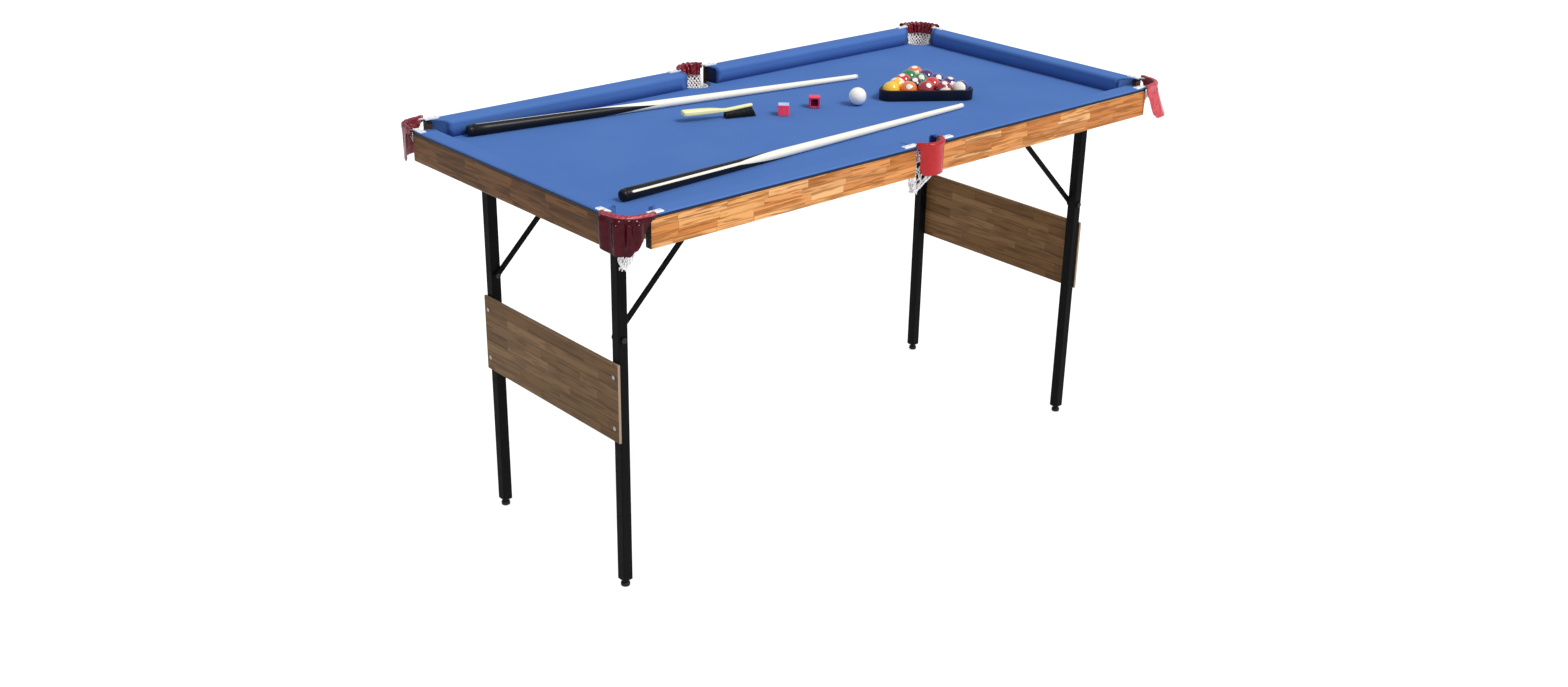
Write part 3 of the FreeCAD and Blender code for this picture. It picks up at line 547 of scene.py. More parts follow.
paint = {
    "apron_x": stave_wood(
        "stave_wood_long", "X", HONEY, HONEY_STREAK, APRON_ROW, 95 * MM, end=SHADED_END, inner=SHADED_BARE_INSIDE
    ),
    "apron_y": stave_wood("stave_wood_end_shaded", "Y", SHADED_UMBER, SHADED_BROWN_STREAK, APRON_ROW, 120 * MM, inner=SHADED_BARE_INSIDE),
    "panel": stave_wood(
        "stave_wood_panel_shaded", "Y", SHADED_BROWN, SHADED_BROWN_STREAK, 21 * MM, 150 * MM, edge=PALE_EDGE, figure=0.6
    ),
    "cloth": cloth("rail_cloth", CLOTH_BLUE, CLOTH_DEEP),
    "bed": cloth("bed_cloth", CLOTH_BLUE, CLOTH_DEEP),
    # The pockets' leathers are one red vinyl whose tones are partly painted light and shade: bright and rosy
    # are lit copies, dark and maroon are shaded copies, and dull is a paler copy that also serves as the lit
    # top of the front left rim.
    "bright": leatherette("pocket_leather", linear(174, 27, 31), linear(164, 23, 28), 0.34, 0.15, 0.04),
    "rosy": leatherette("pocket_leather_rosy_lit", linear(196, 76, 84), linear(168, 40, 54), 0.36, 0.2),
    "dull": leatherette("pocket_leather_dull", linear(128, 50, 60), linear(92, 28, 40), 0.36, 0.12, 0.5),
    "dark": leatherette("pocket_leather_dark", linear(128, 16, 34), linear(64, 6, 16), 0.26, 0.5, 0.9),
    "maroon": leatherette("pocket_leather_maroon", linear(48, 2, 9), linear(26, 1, 5), 0.24, 0.24, 0.1, 0.02),
    "string": string("net_cord"),
    # The rail ends at the side pockets: the rail cloth darkened as painted shade.
    "rail_end": cloth("rail_end_shaded_cloth", linear(30, 44, 92), linear(20, 28, 60)),
    "trim": moulded("trim_black", (0.008, 0.010, 0.022), 0.5),
    "iron": plated("bright_iron", (0.95, 0.95, 0.95), 0.42, 0.25),
    "steel": plated("bright_steel", (0.8, 0.8, 0.8), 0.35, 0.6),
    "fastener": leg_fasteners("leg_fasteners", (0.36, 0.35, 0.34), (0.012, 0.012, 0.013), BOARD_TOP),
    "black": powder_coat("black_paint", (0.0035, 0.0035, 0.004), 0.6),
    "foot": moulded("foot_plastic", (0.006, 0.006, 0.007), 0.6),
    "board": fibreboard("fibreboard", linear(178, 140, 98), linear(120, 86, 54)),
    "rubber": moulded("cushion_rubber", (0.02, 0.018, 0.016), 0.7),
    "rack": moulded("rack_plastic", (0.006, 0.008, 0.018), 0.34),
    "brush": lacquered_wood("brush_wood", linear(252, 246, 190), linear(240, 226, 140)),
}

# The finish of the CAD nodes that stay, by how their names start. The first that fits is used.
NODE_PAINT = {
    "apron_x": ("apron_front", "apron_rear"),
    "apron_y": ("apron_left", "apron_right"),
    "panel": "end_panel",
    "trim": "trim_strips",
    "board": ("rail_cores", "bed_board", "bed_batten", "corner_blocks"),
    "rubber": "cushion_rubbers",
    "iron": "pocket_irons",
    "steel": ("pocket_tacks", "bracket_screws"),
    "foot": ("leg_plugs", "foot_"),
    "fastener": "frame_fasteners",
    "black": ("leg_", "cross_tube", "brace_", "saddle_brackets", "keeper_brackets"),
}


def paint_nodes():
    """Each CAD node that stays gets its procedural material."""
    for name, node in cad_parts.items():
        key = next((key for key, starts in NODE_PAINT.items() if name.startswith(starts)), None)
        if key:
            node.data.materials.clear()
            node.data.materials.append(paint[key])


# ---------------------------------------------------------------- rails and bed


def rail_section(inset):
    """The outline of a rail's cloth as (in, z) points, from its outer edge over the top to the bed."""
    edge = (RAIL_EDGE + EDGE_RADIUS, RAIL_TOP - EDGE_RADIUS)
    nose = (NOSE_IN - NOSE_RADIUS, RAIL_TOP - NOSE_RADIUS)
    points = [(RAIL_EDGE + inset, TRIM_TOP)]
    points += arc(edge, EDGE_RADIUS - inset, 180, 90, 4)
    points += [(edge[0] + (nose[0] - edge[0]) * k / 6, RAIL_TOP - inset) for k in range(1, 6)]
    points += arc(nose, NOSE_RADIUS - inset, 90, 0, 10)
    points.append((NOSE_IN - NOSE_UNDER[0] - inset, nose[1] - NOSE_UNDER[1]))
    points.append((NOSE_IN - NOSE_FOOT - inset, BED_TOP))
    return points


def corner_cut(a):
    """How far from the table's corner a rail ends, at a distance in."""
    return CORNER_GAP + CORNER_WIDER * a / NOSE_IN


def side_cut(a):
    """How far from the side pocket's middle a rail ends, at a distance in."""
    return SIDE_GAP + SIDE_WIDER * a / NOSE_IN


def rail_cover(name, start, stop, to_row):
    """Cloth wrapped over one rail, with its ends folded over the cuts at the pockets.

    start and stop give how far along the rail each end lies at a distance in, and to_row turns
    (in, along, z) into a point of the row frame.
    """
    rounding = 1.6 * MM
    shares = ((1, 0), (0.45, 0.12), (0.12, 0.45), (0, 1))
    rings = [(rounding * inset, rounding * step) for inset, step in shares]
    stations = [(inset, 0.0, step) for inset, step in rings]
    stations += [(0.0, k / 40, 0.0) for k in range(1, 40)]
    stations += [(inset, 1.0, -step) for inset, step in reversed(rings)]
    verts = []
    for inset, share, step in stations:
        for a, z in rail_section(inset):
            along = start(a) + (stop(a) - start(a)) * share + step
            verts.append(to_row(a, along, z))
    section = rail_section(0)
    cols = len(section)
    faces = grid_faces(len(stations), cols)
    for ring, end in ((0, start), (len(stations) - 1, stop)):
        low = len(verts)
        verts.append(to_row(APRON_IN, end(APRON_IN), BED_TOP))
        verts.append(to_row(APRON_IN, end(APRON_IN), TRIM_TOP))
        rim = list(range(ring * cols, (ring + 1) * cols)) + [low, low + 1]
        faces.append(tuple(rim if ring else rim[::-1]))
    obj = piece(f"rail_cover_{name}", verts, faces, paint["cloth"], [f"rail_cloth_{name}"])
    face_outwards(obj)
    thicken(obj, CLOTH_THICK)
    return obj


def make_rails():
    """The six covers. The long ones' ends at the side pockets are the cloth darkened as painted shade."""
    for row, end in CORNERS:
        sx, sy = SIGN_X[end], SIGN_Y[row]
        obj = rail_cover(
            f"{row}_{end}",
            lambda a: HALF_X - corner_cut(a),
            side_cut,
            lambda a, along, z: Vector((sx * along, sy * (HALF_Y - a), z)),
        )
        # The end at the side pocket takes the cloth with painted shade.
        obj.data.materials.append(paint["rail_end"])
        obj.data.polygons[-1].material_index = 1
    for end, sx in SIGN_X.items():
        rail_cover(
            f"{end}_end",
            lambda a: HALF_Y - corner_cut(a),
            lambda a: corner_cut(a) - HALF_Y,
            lambda a, along, z: Vector((sx * (HALF_X - a), along, z)),
        )


def pocket_places():
    """Each pocket's name, its axis, its iron's radius and the direction its flap faces."""
    for row, end in CORNERS:
        sx, sy = SIGN_X[end], SIGN_Y[row]
        axis = Vector((sx * (HALF_X - CORNER_IN), sy * (HALF_Y - CORNER_IN), 0))
        yield f"{row}_{end}", axis, CORNER_RADIUS, math.atan2(sy, sx)
    for row, sy in SIGN_Y.items():
        axis = Vector((0, sy * (HALF_Y - SIDE_IN), 0))
        yield f"{row}_middle", axis, SIDE_RADIUS, math.atan2(sy, 0)


def notch(axis):
    """The points of the cut round one pocket that lie on the bed, anticlockwise round the bed."""
    points = []
    for k in range(144):
        turn = math.atan2(axis.y, axis.x) - 2 * math.pi * k / 144
        x = axis.x + NOTCH_RADIUS * math.cos(turn)
        y = axis.y + NOTCH_RADIUS * math.sin(turn)
        if abs(x) <= BED_X and abs(y) <= BED_Y:
            points.append((x, y))
    return points


def make_bed():
    """The bed's cloth, drawn tight over the board and tucked a little way down into each pocket."""
    axes = {name: axis for name, axis, _, _ in pocket_places()}
    outline = []
    for name in ("front_left", "front_middle", "front_right", "rear_right", "rear_middle", "rear_left"):
        outline += notch(axes[name])
    tuck = ((0.0, 0.0), (0.25 * MM, -0.5 * MM), (0.5 * MM, -2.0 * MM), (0.5 * MM, -7.0 * MM))
    count = len(outline)
    verts = []
    for inward, drop in tuck:
        for k, (x, y) in enumerate(outline):
            run = (Vector(outline[(k + 1) % count]) - Vector(outline[k - 1])).normalized()
            verts.append((x + run.y * inward, y - run.x * inward, BED_TOP + drop))
    faces = [tuple(range(count))]
    faces += [tuple(reversed(face)) for face in grid_faces(len(tuck), count, wrap_cols=True)]
    obj = piece("bed_cloth_sheet", verts, faces, paint["bed"], ["bed_cloth"])
    obj.data.shade_flat()
    face_outwards(obj)
    thicken(obj, CLOTH_THICK)


# ---------------------------------------------------------------- pockets

# A leather's finish, its hem, how far it flares and folds in millimetres, how much its rim is
# pleated, its ridges and the seed of its creases. A hem is (place, height) points and a ridge is
# (place, width, height), in millimetres along the rim.
Flap = namedtuple("Flap", "tone hem flare folds pleat ridges seed")

# A net's lowest point, its rim's height behind the flap, how far it leans in millimetres, how much
# wider it is halfway down, its number of strings each way, how far each turns round it, and a
# string's radius in millimetres.
Net = namedtuple("Net", "low top lean bulk strings twist thick")


def wobble(seed, count, low, high):
    """A smooth uneven wave from a few sines, about -1 to 1."""
    draw = random.Random(seed)
    waves = []
    for _ in range(count):
        waves.append((draw.uniform(low, high), draw.uniform(0, 2 * math.pi), draw.uniform(0.5, 1.0)))
    total = sum(weight for _, _, weight in waves)
    return lambda t: sum(weight * math.sin(rate * t + phase) for rate, phase, weight in waves) / total


def ease(value, low, high):
    """0 below low, 1 above high and smooth between them."""
    share = min(1.0, max(0.0, (value - low) / (high - low)))
    return share * share * (3 - 2 * share)


def eased_between(stops, at):
    """The value at a place between (place, value) stops, eased from each to the next."""
    for (a, low), (b, high) in zip(stops, stops[1:]):
        if at <= b:
            return low + (high - low) * ease(at, a, b)
    return stops[-1][1]


def pocket_leather(name, axis, radius, facing, reach, flap):
    """A rolled rim with a gathered band inside and a hanging flap outside, from one sheet."""
    first, last = reach
    folds = wobble(flap.seed, 3, 4.5, 8.5)
    crinkle = wobble(flap.seed + 1, 5, 18.0, 46.0)
    gathers = wobble(flap.seed + 2, 4, 14.0, 30.0)
    low = min(height for _, height in flap.hem) * MM
    rows, band, roll, hang = 170, 12, 16, 34
    verts = []
    for i in range(rows + 1):
        local = first + (last - first) * i / rows
        place = local * radius / MM
        gather = flap.pleat * gathers(local)
        end = 0.0 if "middle" in name else ease(abs(local), math.radians(42), math.radians(72))
        outer = radius + RIM_SPREAD * end
        profile = []
        for k in range(band):
            share = k / band
            wave = 3.2 * MM * (gather + 0.6 * flap.pleat * crinkle(local + 0.3 * share))
            depth = BAND_DEPTH * (1 - 0.8 * end) * (1 - share)
            profile.append((outer - ROLL_RADIUS + wave - BAND_DRAWN * (1 - share), ROLL_Z - depth))
        for k in range(roll + 1):
            lift = math.pi * (1 - k / roll)
            puff = ROLL_RADIUS * (1 + 0.45 * gather * math.sin(lift))
            sink = 2.2 * MM * gather * math.cos(lift) ** 2 if lift > math.pi / 2 else 0.0
            profile.append((outer + puff * math.cos(lift) + sink, ROLL_Z + puff * math.sin(lift) * 0.92))
        for k in range(1, hang + 1):
            drop = (ROLL_Z - eased_between(flap.hem, place) * MM) * k / hang
            depth = drop / (ROLL_Z - low)
            tuck = 2.0 * math.sin(min(1.0, depth * 5) * math.pi / 2)
            ridge = sum(tall * math.exp(-(((place - at) / wide) ** 2)) for at, wide, tall in flap.ridges)
            swell = ease(depth, 0.0, 0.18) * (1 - 0.6 * ease(depth, 0.4, 1.1))
            fold = (flap.folds * folds(local + 0.2 * depth) + ridge) * swell
            crease = 1.2 * flap.pleat * crinkle(local + 0.5 * depth) * math.exp(-2.5 * depth)
            out_by = fold + crease + flap.flare * depth**1.6 - tuck
            profile.append((outer + ROLL_RADIUS + out_by * MM, ROLL_Z - drop))
        for r, z in profile:
            verts.append(axis + heading(facing + local) * r + UP * z)
    cols = band + roll + 1 + hang
    faces = grid_faces(rows + 1, cols)
    node = f"pocket_leather_{name}"
    obj = piece(f"leather_{name}", verts, faces, paint[flap.tone], [node])
    # Painted light and shade by slot: the dark leather on the inner band and the roll's inner side is painted
    # shade, and the maroon flap's roll takes the paler dull leather as its lit top.
    obj.data.materials.append(paint["dark"])
    obj.data.materials.append(paint["dull" if flap.tone == "maroon" else flap.tone])
    for face in obj.data.polygons:
        along = face.index % (cols - 1)
        face.material_index = 1 if along < band + roll // 4 else 2 if along < band + roll else 0
    thicken(obj, LEATHER_THICK, 0.0)
    return obj


def net_radius(height):
    """The radius of an empty netting bag at a height, in a steep neck over a drawn end."""
    stops = ((0.0, 2.5), (0.08, 6.0), (0.2, 12.0), (0.42, 18.0), (0.7, 24.0), (0.85, 30.0), (1.0, 32.0))
    return eased_between(stops, (height - NET_LOW) / (NET_TOP - NET_LOW)) * MM


def pocket_net(name, axis, facing, net, seed):
    """A knotted string bag: two families of slanting strings, a rim, a drawn ring and a tied tail."""
    draw = random.Random(seed)
    steps = 30
    cell = 2 * math.pi / net.strings
    sway = wobble(seed, 3, 1.0, 3.0)
    dent = wobble(seed + 5, 4, 2.0, 6.0)
    drawn_end = net.low + NET_TAIL
    verts = []
    faces = []

    def spot(turn, share):
        """A point of the bag, where share is 1 at the rim and 0 at the drawn end."""
        rim = NET_LIP + (net.top - NET_LIP) * ease(math.cos(turn - facing), 0.34, 0.5)
        height = drawn_end + (rim - drawn_end) * share
        full = NET_LOW + (height - net.low) * (NET_TOP - NET_LOW) / (NET_TOP - net.low)
        radius = net_radius(full) * (1 + net.bulk * math.sin(math.pi * share) ** 2)
        radius += 1.3 * MM * dent(turn * 1.3 + 4 * share) * (1 - share**4)
        hang = Vector((3 * sway(share * 3) + net.lean[0], 3 * sway(share * 3 + 9) + net.lean[1], 0)) * MM
        return axis + hang * (1 - share) ** 1.2 + heading(turn) * radius + UP * height

    for sign in (-1, 1):
        for k in range(net.strings):
            path = []
            for step in range(steps + 1):
                share = 1 - step / steps
                turn = k * cell + sign * net.twist * (1 - share) + 0.07 * dent(k + 6 * share)
                path.append(spot(turn, share) + heading(turn) * 0.35 * MM * sign)
            tube(path, net.thick * MM, 5, verts, faces)
    for k in range(net.strings):
        for step in range(1, int(2 * net.twist / cell) + 1):
            share = 1 - step * cell / (2 * net.twist)
            if share > 0.05:
                knot(spot(k * cell + step * cell / 2, share), 1.9 * net.thick * MM, verts, faces)
    for share, wide in ((1.0, 1.0), (0.0, 1.4)):
        tube([spot(2 * math.pi * k / 60, share) for k in range(61)], wide * MM, 6, verts, faces)
    for k in range(9):
        turn = 2 * math.pi * k / 9
        start = spot(turn, 0.0)
        side = heading(turn) * draw.uniform(1.5, 4.5) * MM
        end = Vector((start.x, start.y, net.low + draw.uniform(1.0, 3.0) * MM)) + side
        tube([start, (start + end) / 2 + side * 0.4, end], 0.8 * MM, 5, verts, faces)
    piece(f"net_{name}", verts, faces, paint["string"], ["pocket_nets"])


def straight_hem(half_width, low, corner):
    """A plain flap's hem, short of the rim's ends and rounded at its two corners."""
    high = 756
    right = [(half_width - corner, low), (half_width, low + corner), (half_width + 2, high), (60, high)]
    left = [(-at, height) for at, height in reversed(right)]
    return left + right


def make_pockets():
    """The six leathers, which are returned by name, and their nets."""
    lopsided = [(-60, 756), (-50, 756), (-47, 712), (-42, 706), (-25, 702), (-8, 700), (5, 701), (15, 710)]
    lopsided += [(24, 724), (31, 738), (36, 750), (42, 756), (60, 756)]
    swept = [(-60, 756), (-48, 756), (-43, 742), (-37, 708), (-31, 701), (16, 700), (24, 707)]
    swept += [(28, 756), (60, 756)]
    puffs = ((-38, 9, 6), (-13, 6, 8), (5, 5, 8), (19, 5, 5))
    flaps = {
        "front_left": Flap("maroon", lopsided, 1, 2.0, 0.30, puffs, 3),
        "front_right": Flap("rosy", swept, 22, 2.5, 0.30, ((-14, 5, 3), (6, 6, 3)), 12),
        "rear_left": Flap("dull", straight_hem(32, 700, 6), 1, 2.5, 1.0, (), 23),
        "rear_right": Flap("dark", straight_hem(30, 700, 6), 3, 2.4, 1.0, (), 31),
        "front_middle": Flap("bright", straight_hem(31, 707, 7), 0, 1.0, 0.20, (), 44),
        "rear_middle": Flap("dark", straight_hem(31, 707, 5), 0, 1.4, 1.0, (), 57),
    }
    close = Net(NET_LOW, 744 * MM, (0, 0), 0.0, 22, 2.5, 1.15)
    nets = {
        "front_left": Net(NET_LOW, 744 * MM, (-6, 5), -0.15, 12, 2.3, 0.95),
        "rear_left": close._replace(low=700 * MM),
        "front_right": Net(700 * MM, 750 * MM, (0, 0), 0.0, 14, 2.5, 0.95),
        "front_middle": Net(NET_LOW, 750 * MM, (-16, 0), 0.3, 11, 1.9, 0.9),
    }
    cut_short = {"front_middle": 0.8, "rear_middle": 0.75}
    leathers = {}
    for k, (name, axis, radius, facing) in enumerate(pocket_places()):
        if "middle" in name:
            half = math.asin(SIDE_GAP / radius)
        else:
            half = math.radians(135) - math.acos((CORNER_GAP - CORNER_IN) / radius)
        reach = (-cut_short.get(name, 1.0) * half, half)
        leathers[name] = pocket_leather(name, axis, radius, facing, reach, flaps[name])
        pocket_net(name, axis, facing, nets.get(name, close), 60 + k)
    return leathers


# ---------------------------------------------------------------- playing set


def cue_finish(name, length, facing, line):
    """A black lacquered butt with two long pale splices, a maple shaft, a ferrule and a leather tip."""
    black = (0.008, 0.008, 0.010)
    finish = Finish(name, black, 0.38, Coat_Weight=0.08, Coat_Roughness=0.2, Specular_IOR_Level=0.2)
    x, y, z = finish.parts()
    share = finish.math("DIVIDE", z, length)
    turn = finish.math("ARCTAN2", y, x)
    side = finish.math("DIVIDE", finish.math("SUBTRACT", turn, math.radians(facing)), math.pi)
    fold = finish.math("MULTIPLY", finish.math("PINGPONG", side, 0.5), 2.0)
    reach = finish.ramp(share, (0.018, 0.0), (0.022, line), (0.30, 1.6 * line), (0.45, 1.0))
    pale = finish.math("LESS_THAN", fold, reach)
    pale = finish.math("MULTIPLY", pale, finish.math("GREATER_THAN", share, 0.02))
    grain = finish.noise((900, 900, 12), 4.0, 0.6)
    streaks = finish.ramp(grain, (0.4, 0.0), (0.75, 0.6))
    finish.blend(grain, (0.5, 0.0), (0.9, 0.4), (0.03, 0.026, 0.022))
    finish.cover(pale, finish.mix(streaks, linear(250, 246, 232), linear(232, 220, 190)))
    finish.cover(finish.math("GREATER_THAN", z, length - FERRULE), linear(246, 246, 244))
    finish.cover(finish.math("GREATER_THAN", z, length - TIP), linear(206, 214, 222))
    finish.bump(grain, 0.03 * MM, 0.25)
    return finish.material


def make_cue(side, near, far, facing, line):
    """A tapered cue, with a rounded rubber bumper, collar grooves, a ferrule and a domed tip."""
    start = Vector((*near, SET_REST + CUE_BUTT))
    end = Vector((*far, SET_REST + CUE_TIP))
    length = (end - start).length

    def wide(height):
        return CUE_BUTT + (CUE_TIP - CUE_BUTT) * height / length

    bumper = ((0.35, 0.0), (0.62, 0.3 * MM), (0.82, 1.6 * MM), (0.93, 4 * MM))
    groove = wide(9 * MM)
    collar = wide(length - FERRULE)
    top = (
        (collar, FERRULE),
        (collar - 0.12 * MM, FERRULE - 0.2 * MM),
        (collar - 0.1 * MM, TIP + 0.2 * MM),
        (collar + 0.12 * MM, TIP - 0.4 * MM),
        (wide(length), 2.4 * MM),
        (0.8 * CUE_TIP, 1.0 * MM),
        (0.3 * CUE_TIP, 0.0),
    )
    profile = [(share * CUE_BUTT, height) for share, height in bumper]
    profile += [(groove - 0.5 * MM, 9 * MM), (groove - 0.9 * MM, 9.6 * MM), (wide(10 * MM), 10.4 * MM)]
    profile += [(wide(length * k / 40), length * k / 40) for k in range(2, 39)]
    profile += [(radius, length - back) for radius, back in top]
    sides = 40
    piece(
        f"cue_turned_{side}",
        lathe(profile, sides),
        closed_rings(len(profile), sides),
        cue_finish(f"cue_wood_{side}", length, facing, line),
        [f"cue_{side}"],
        f"cue_{side}_body",
        placed(start, (end - start).to_track_quat("Z", "Y").to_matrix()),
    )


def ball_finish(name, colour, kind):
    """Polished phenolic resin: plain, or with a round spot on two sides and, if striped, pale ends."""
    finish = Finish(name, colour, 0.06, Coat_Weight=1.0, Coat_Roughness=0.03)
    _, y, z = finish.parts()
    ivory = linear(244, 240, 226)
    if kind == "striped":
        finish.cover(finish.math("GREATER_THAN", finish.math("ABSOLUTE", z), 0.6 * BALL_RADIUS), ivory)
    if kind != "plain":
        squares = [finish.math("POWER", part, 2.0) for part in (y, z)]
        away = finish.math("POWER", finish.math("ADD", *squares), 0.5)
        finish.cover(finish.math("LESS_THAN", away, 0.32 * BALL_RADIUS), ivory)
    cloud = finish.noise(160)
    finish.blend(cloud, (0.4, 0.0), (0.8, 0.12), toned(colour, 0.6))
    finish.rough(cloud, (0.3, 0.05), (0.7, 0.10))
    return finish.material


def ball(name, centre, finish, turn, body, node):
    """A ball as a fine cube-based sphere, with even quads all over."""

    def on_sphere(point):
        return Vector([math.tan(c * math.pi / 4) for c in point]).normalized() * BALL_RADIUS

    verts, faces = cube_skin(12, on_sphere)
    obj = piece(name, verts, faces, finish, [node], body, placed(centre, turn))
    face_outwards(obj, weld=True)


BALL_COLOURS = {
    "yellow": linear(250, 196, 32),
    "blue": linear(22, 40, 132),
    "red": linear(214, 36, 34),
    "purple": linear(66, 26, 110),
    "orange": linear(240, 118, 26),
    "green": linear(14, 122, 70),
    "maroon": linear(158, 14, 46),
    "black": linear(14, 14, 16),
}

# The rows from the leading corner, each from the front: a ball's colour and kind, and the
# direction of its spot as degrees round from +X and degrees up.
RACKED = (
    (("yellow", "solid", 60, 20),),
    (("orange", "solid", 228, 38), ("yellow", "striped", 150, 60)),
    (("maroon", "solid", 250, 45), ("black", "solid", 230, 60), ("red", "striped", 200, 70)),
    (
        ("maroon", "striped", 240, 65),
        ("red", "solid", 60, 30),
        ("green", "striped", 236, 52),
        ("green", "solid", 90, 20),
    ),
    (
        ("blue", "striped", 20, 70),
        ("purple", "striped", 260, 75),
        ("blue", "solid", 236, 50),
        ("purple", "solid", 80, 30),
        ("orange", "striped", 215, 75),
    ),
)


def make_balls():
    """The fifteen racked balls and the cue ball."""
    depth = BALL_SPACING * math.sqrt(3) / 2
    middle = RACK_MIDDLE + UP * (SET_REST + BALL_RADIUS)
    for k, row in enumerate(RACKED):
        for j, (colour, kind, round_to, up_to) in enumerate(row):
            centre = middle + RACK_TURN @ Vector(((k - 8 / 3) * depth, (j - k / 2) * BALL_SPACING, 0))
            finish = ball_finish(f"ball_gloss_{colour}_{kind}", BALL_COLOURS[colour], kind)
            rise = math.radians(up_to)
            spot = heading(math.radians(round_to)) * math.cos(rise) + UP * math.sin(rise)
            turn = spot.to_track_quat("X", "Z").to_matrix()
            ball(f"ball_{colour}_{kind}", centre, finish, turn, "racked_balls", "object_balls")
    low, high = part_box("cue_ball")
    finish = ball_finish("ball_gloss_white", linear(252, 250, 242), "plain")
    ball("ball_white", (low + high) / 2, finish, Matrix.Identity(3), "cue_ball_body", "cue_ball")


def make_rack():
    """The triangle: a moulded wall with rounded lips, swept round its three rounded corners."""
    inradius = 4 * BALL_SPACING / (2 * math.sqrt(3)) + BALL_RADIUS + 0.5 * MM
    wall = 5 * MM
    height = 22 * MM
    corner = 22 * MM
    lip = 1.3 * MM
    section = [(0.0, 0.6 * MM), (0.0, height - 5 * MM), (0.0, height - 4.4 * MM)]
    section += [(lip - x, z) for x, z in arc((0.0, height - lip), lip, 0, 90, 4)]
    section += [(wall - lip + x, z) for x, z in arc((0.0, height - lip), lip, 90, 0, 4)]
    section += [(wall, 0.6 * MM), (wall - 0.6 * MM, 0.0), (0.6 * MM, 0.0)]
    verts = []
    steps = 10
    for angle in (180.0, 300.0, 60.0):
        hub = heading(math.radians(angle)) * 2 * (inradius + wall - corner)
        for k in range(steps + 1):
            out = heading(math.radians(angle - 60 + 120 * k / steps))
            verts += [hub + out * (corner - inset) + UP * z for inset, z in section]
    faces = grid_faces(3 * (steps + 1), len(section), wrap_rows=True, wrap_cols=True)
    node = ["triangle_rack"]
    spot = placed(RACK_MIDDLE + UP * SET_REST, RACK_TURN)
    obj = piece("rack_moulding", verts, faces, paint["rack"], node, "rack_body", spot)
    face_outwards(obj)


def bristle_finish():
    """Dull black nylon bristles, a little paler in places."""
    finish = Finish("brush_bristle", (0.008, 0.008, 0.009), 0.5)
    finish.blend(finish.noise(700, 2.0), (0.4, 0.0), (0.7, 0.7), (0.05, 0.048, 0.045))
    return finish.material


def make_brush():
    """A table brush: a shaped pale handle over a head of dense black bristles.

    A station of the handle is its place along, its width, and its lower and upper side, in millimetres.
    """
    spot = placed(BRUSH_MIDDLE + UP * SET_REST, BRUSH_TURN)
    stations = (
        (-84.0, 15.0, 12.8, 21.6),
        (-82.5, 19.6, 12.4, 22.6),
        (-76.0, 21.0, 12.4, 22.6),
        (-50.0, 21.0, 12.4, 22.6),
        (-24.0, 18.0, 12.6, 22.0),
        (-10.0, 12.0, 12.8, 20.6),
        (2.0, 10.6, 12.9, 18.6),
        (12.0, 11.0, 13.9, 19.0),
        (34.0, 11.0, 16.4, 21.4),
        (54.0, 11.0, 18.7, 23.6),
        (60.5, 9.0, 19.4, 24.2),
        (62.0, 6.0, 19.8, 24.0),
    )
    sides = 20
    verts = []
    for x, width, low, high in stations:
        for k in range(sides):
            c, s, _ = heading(2 * math.pi * k / sides)
            y = math.copysign(abs(c) ** 0.4, c) * width / 2
            z = (low + high) / 2 + math.copysign(abs(s) ** 0.4, s) * (high - low) / 2
            verts.append(Vector((x, y, z)) * MM)
    faces = closed_rings(len(stations), sides)
    node = ["brush_handle"]
    obj = piece("brush_shaped_handle", verts, faces, paint["brush"], node, "brush", spot)
    face_outwards(obj)
    smooth = obj.modifiers.new("smooth", "SUBSURF")
    smooth.levels = 1
    smooth.render_levels = 1

    draw = random.Random(19)
    verts = []
    faces = []
    for i in range(24):
        for j in range(5):
            along = 5 + 52 * i / 23
            across = 4.0 * (j / 2 - 1)
            root_height = 13.4 + 0.114 * along
            for _ in range(12):
                root = Vector((along + draw.gauss(0, 0.7), across + draw.gauss(0, 0.5), root_height))
                lean = 1.5 + 6.5 * along / 57 + draw.gauss(0, 0.8)
                tip = Vector((root.x + lean, root.y * 1.8 + draw.gauss(0, 0.5), draw.uniform(0.2, 0.8)))
                middle = root.lerp(tip, 0.5) + Vector((0.12 * lean, 0, 0))
                tube([root * MM, middle * MM, tip * MM], 0.26 * MM, 4, verts, faces)
    finish = bristle_finish()
    piece("brush_bristle_tufts", verts, faces, finish, ["brush_bristles"], "brush", spot)


def chalk_cube(name, spot, chalk, label, hollow_depth):
    """A chalk cube with a worn hollow in one face and a paper label round its four sides."""
    side = CHALK_HALF - 0.15 * MM
    core = side - CHALK_ROUND

    def worn(point):
        """A point of the cube's skin, rounded at the edges and hollowed in the top."""
        outer = Vector([c * side for c in point])
        inner = Vector([max(-core, min(core, c)) for c in outer])
        away = outer - inner
        at = inner + away.normalized() * CHALK_ROUND if away.length > 0 else inner
        if point[2] == 1:
            out = (abs(at.x) ** 4 + abs(at.y) ** 4) ** 0.25 / (7.6 * MM)
            at.z -= hollow_depth * max(0.0, 1 - out**3) ** 0.6
        return at

    verts, faces = cube_skin(24, worn)
    obj = piece(f"chalk_block_{name}", verts, faces, chalk, ["chalk_cubes"], "chalk", spot)
    face_outwards(obj, weld=True)

    loop = []
    for k, (cx, cy) in enumerate(((1, 1), (-1, 1), (-1, -1), (1, -1))):
        hub = (cx * (CHALK_HALF - CHALK_ROUND), cy * (CHALK_HALF - CHALK_ROUND))
        loop += arc(hub, CHALK_ROUND, 90 * k, 90 * k + 90, 4)
    levels = (-10.6, -10.4, -5.0, 0.0, 5.0, 10.2, 10.4)
    verts = [(x, y, level * MM) for level in levels for x, y in loop]
    faces = grid_faces(len(levels), len(loop), wrap_cols=True)
    obj = piece(f"chalk_label_{name}", verts, faces, label, body="chalk", spot=spot)
    face_outwards(obj)
    thicken(obj, PAPER_THICK)


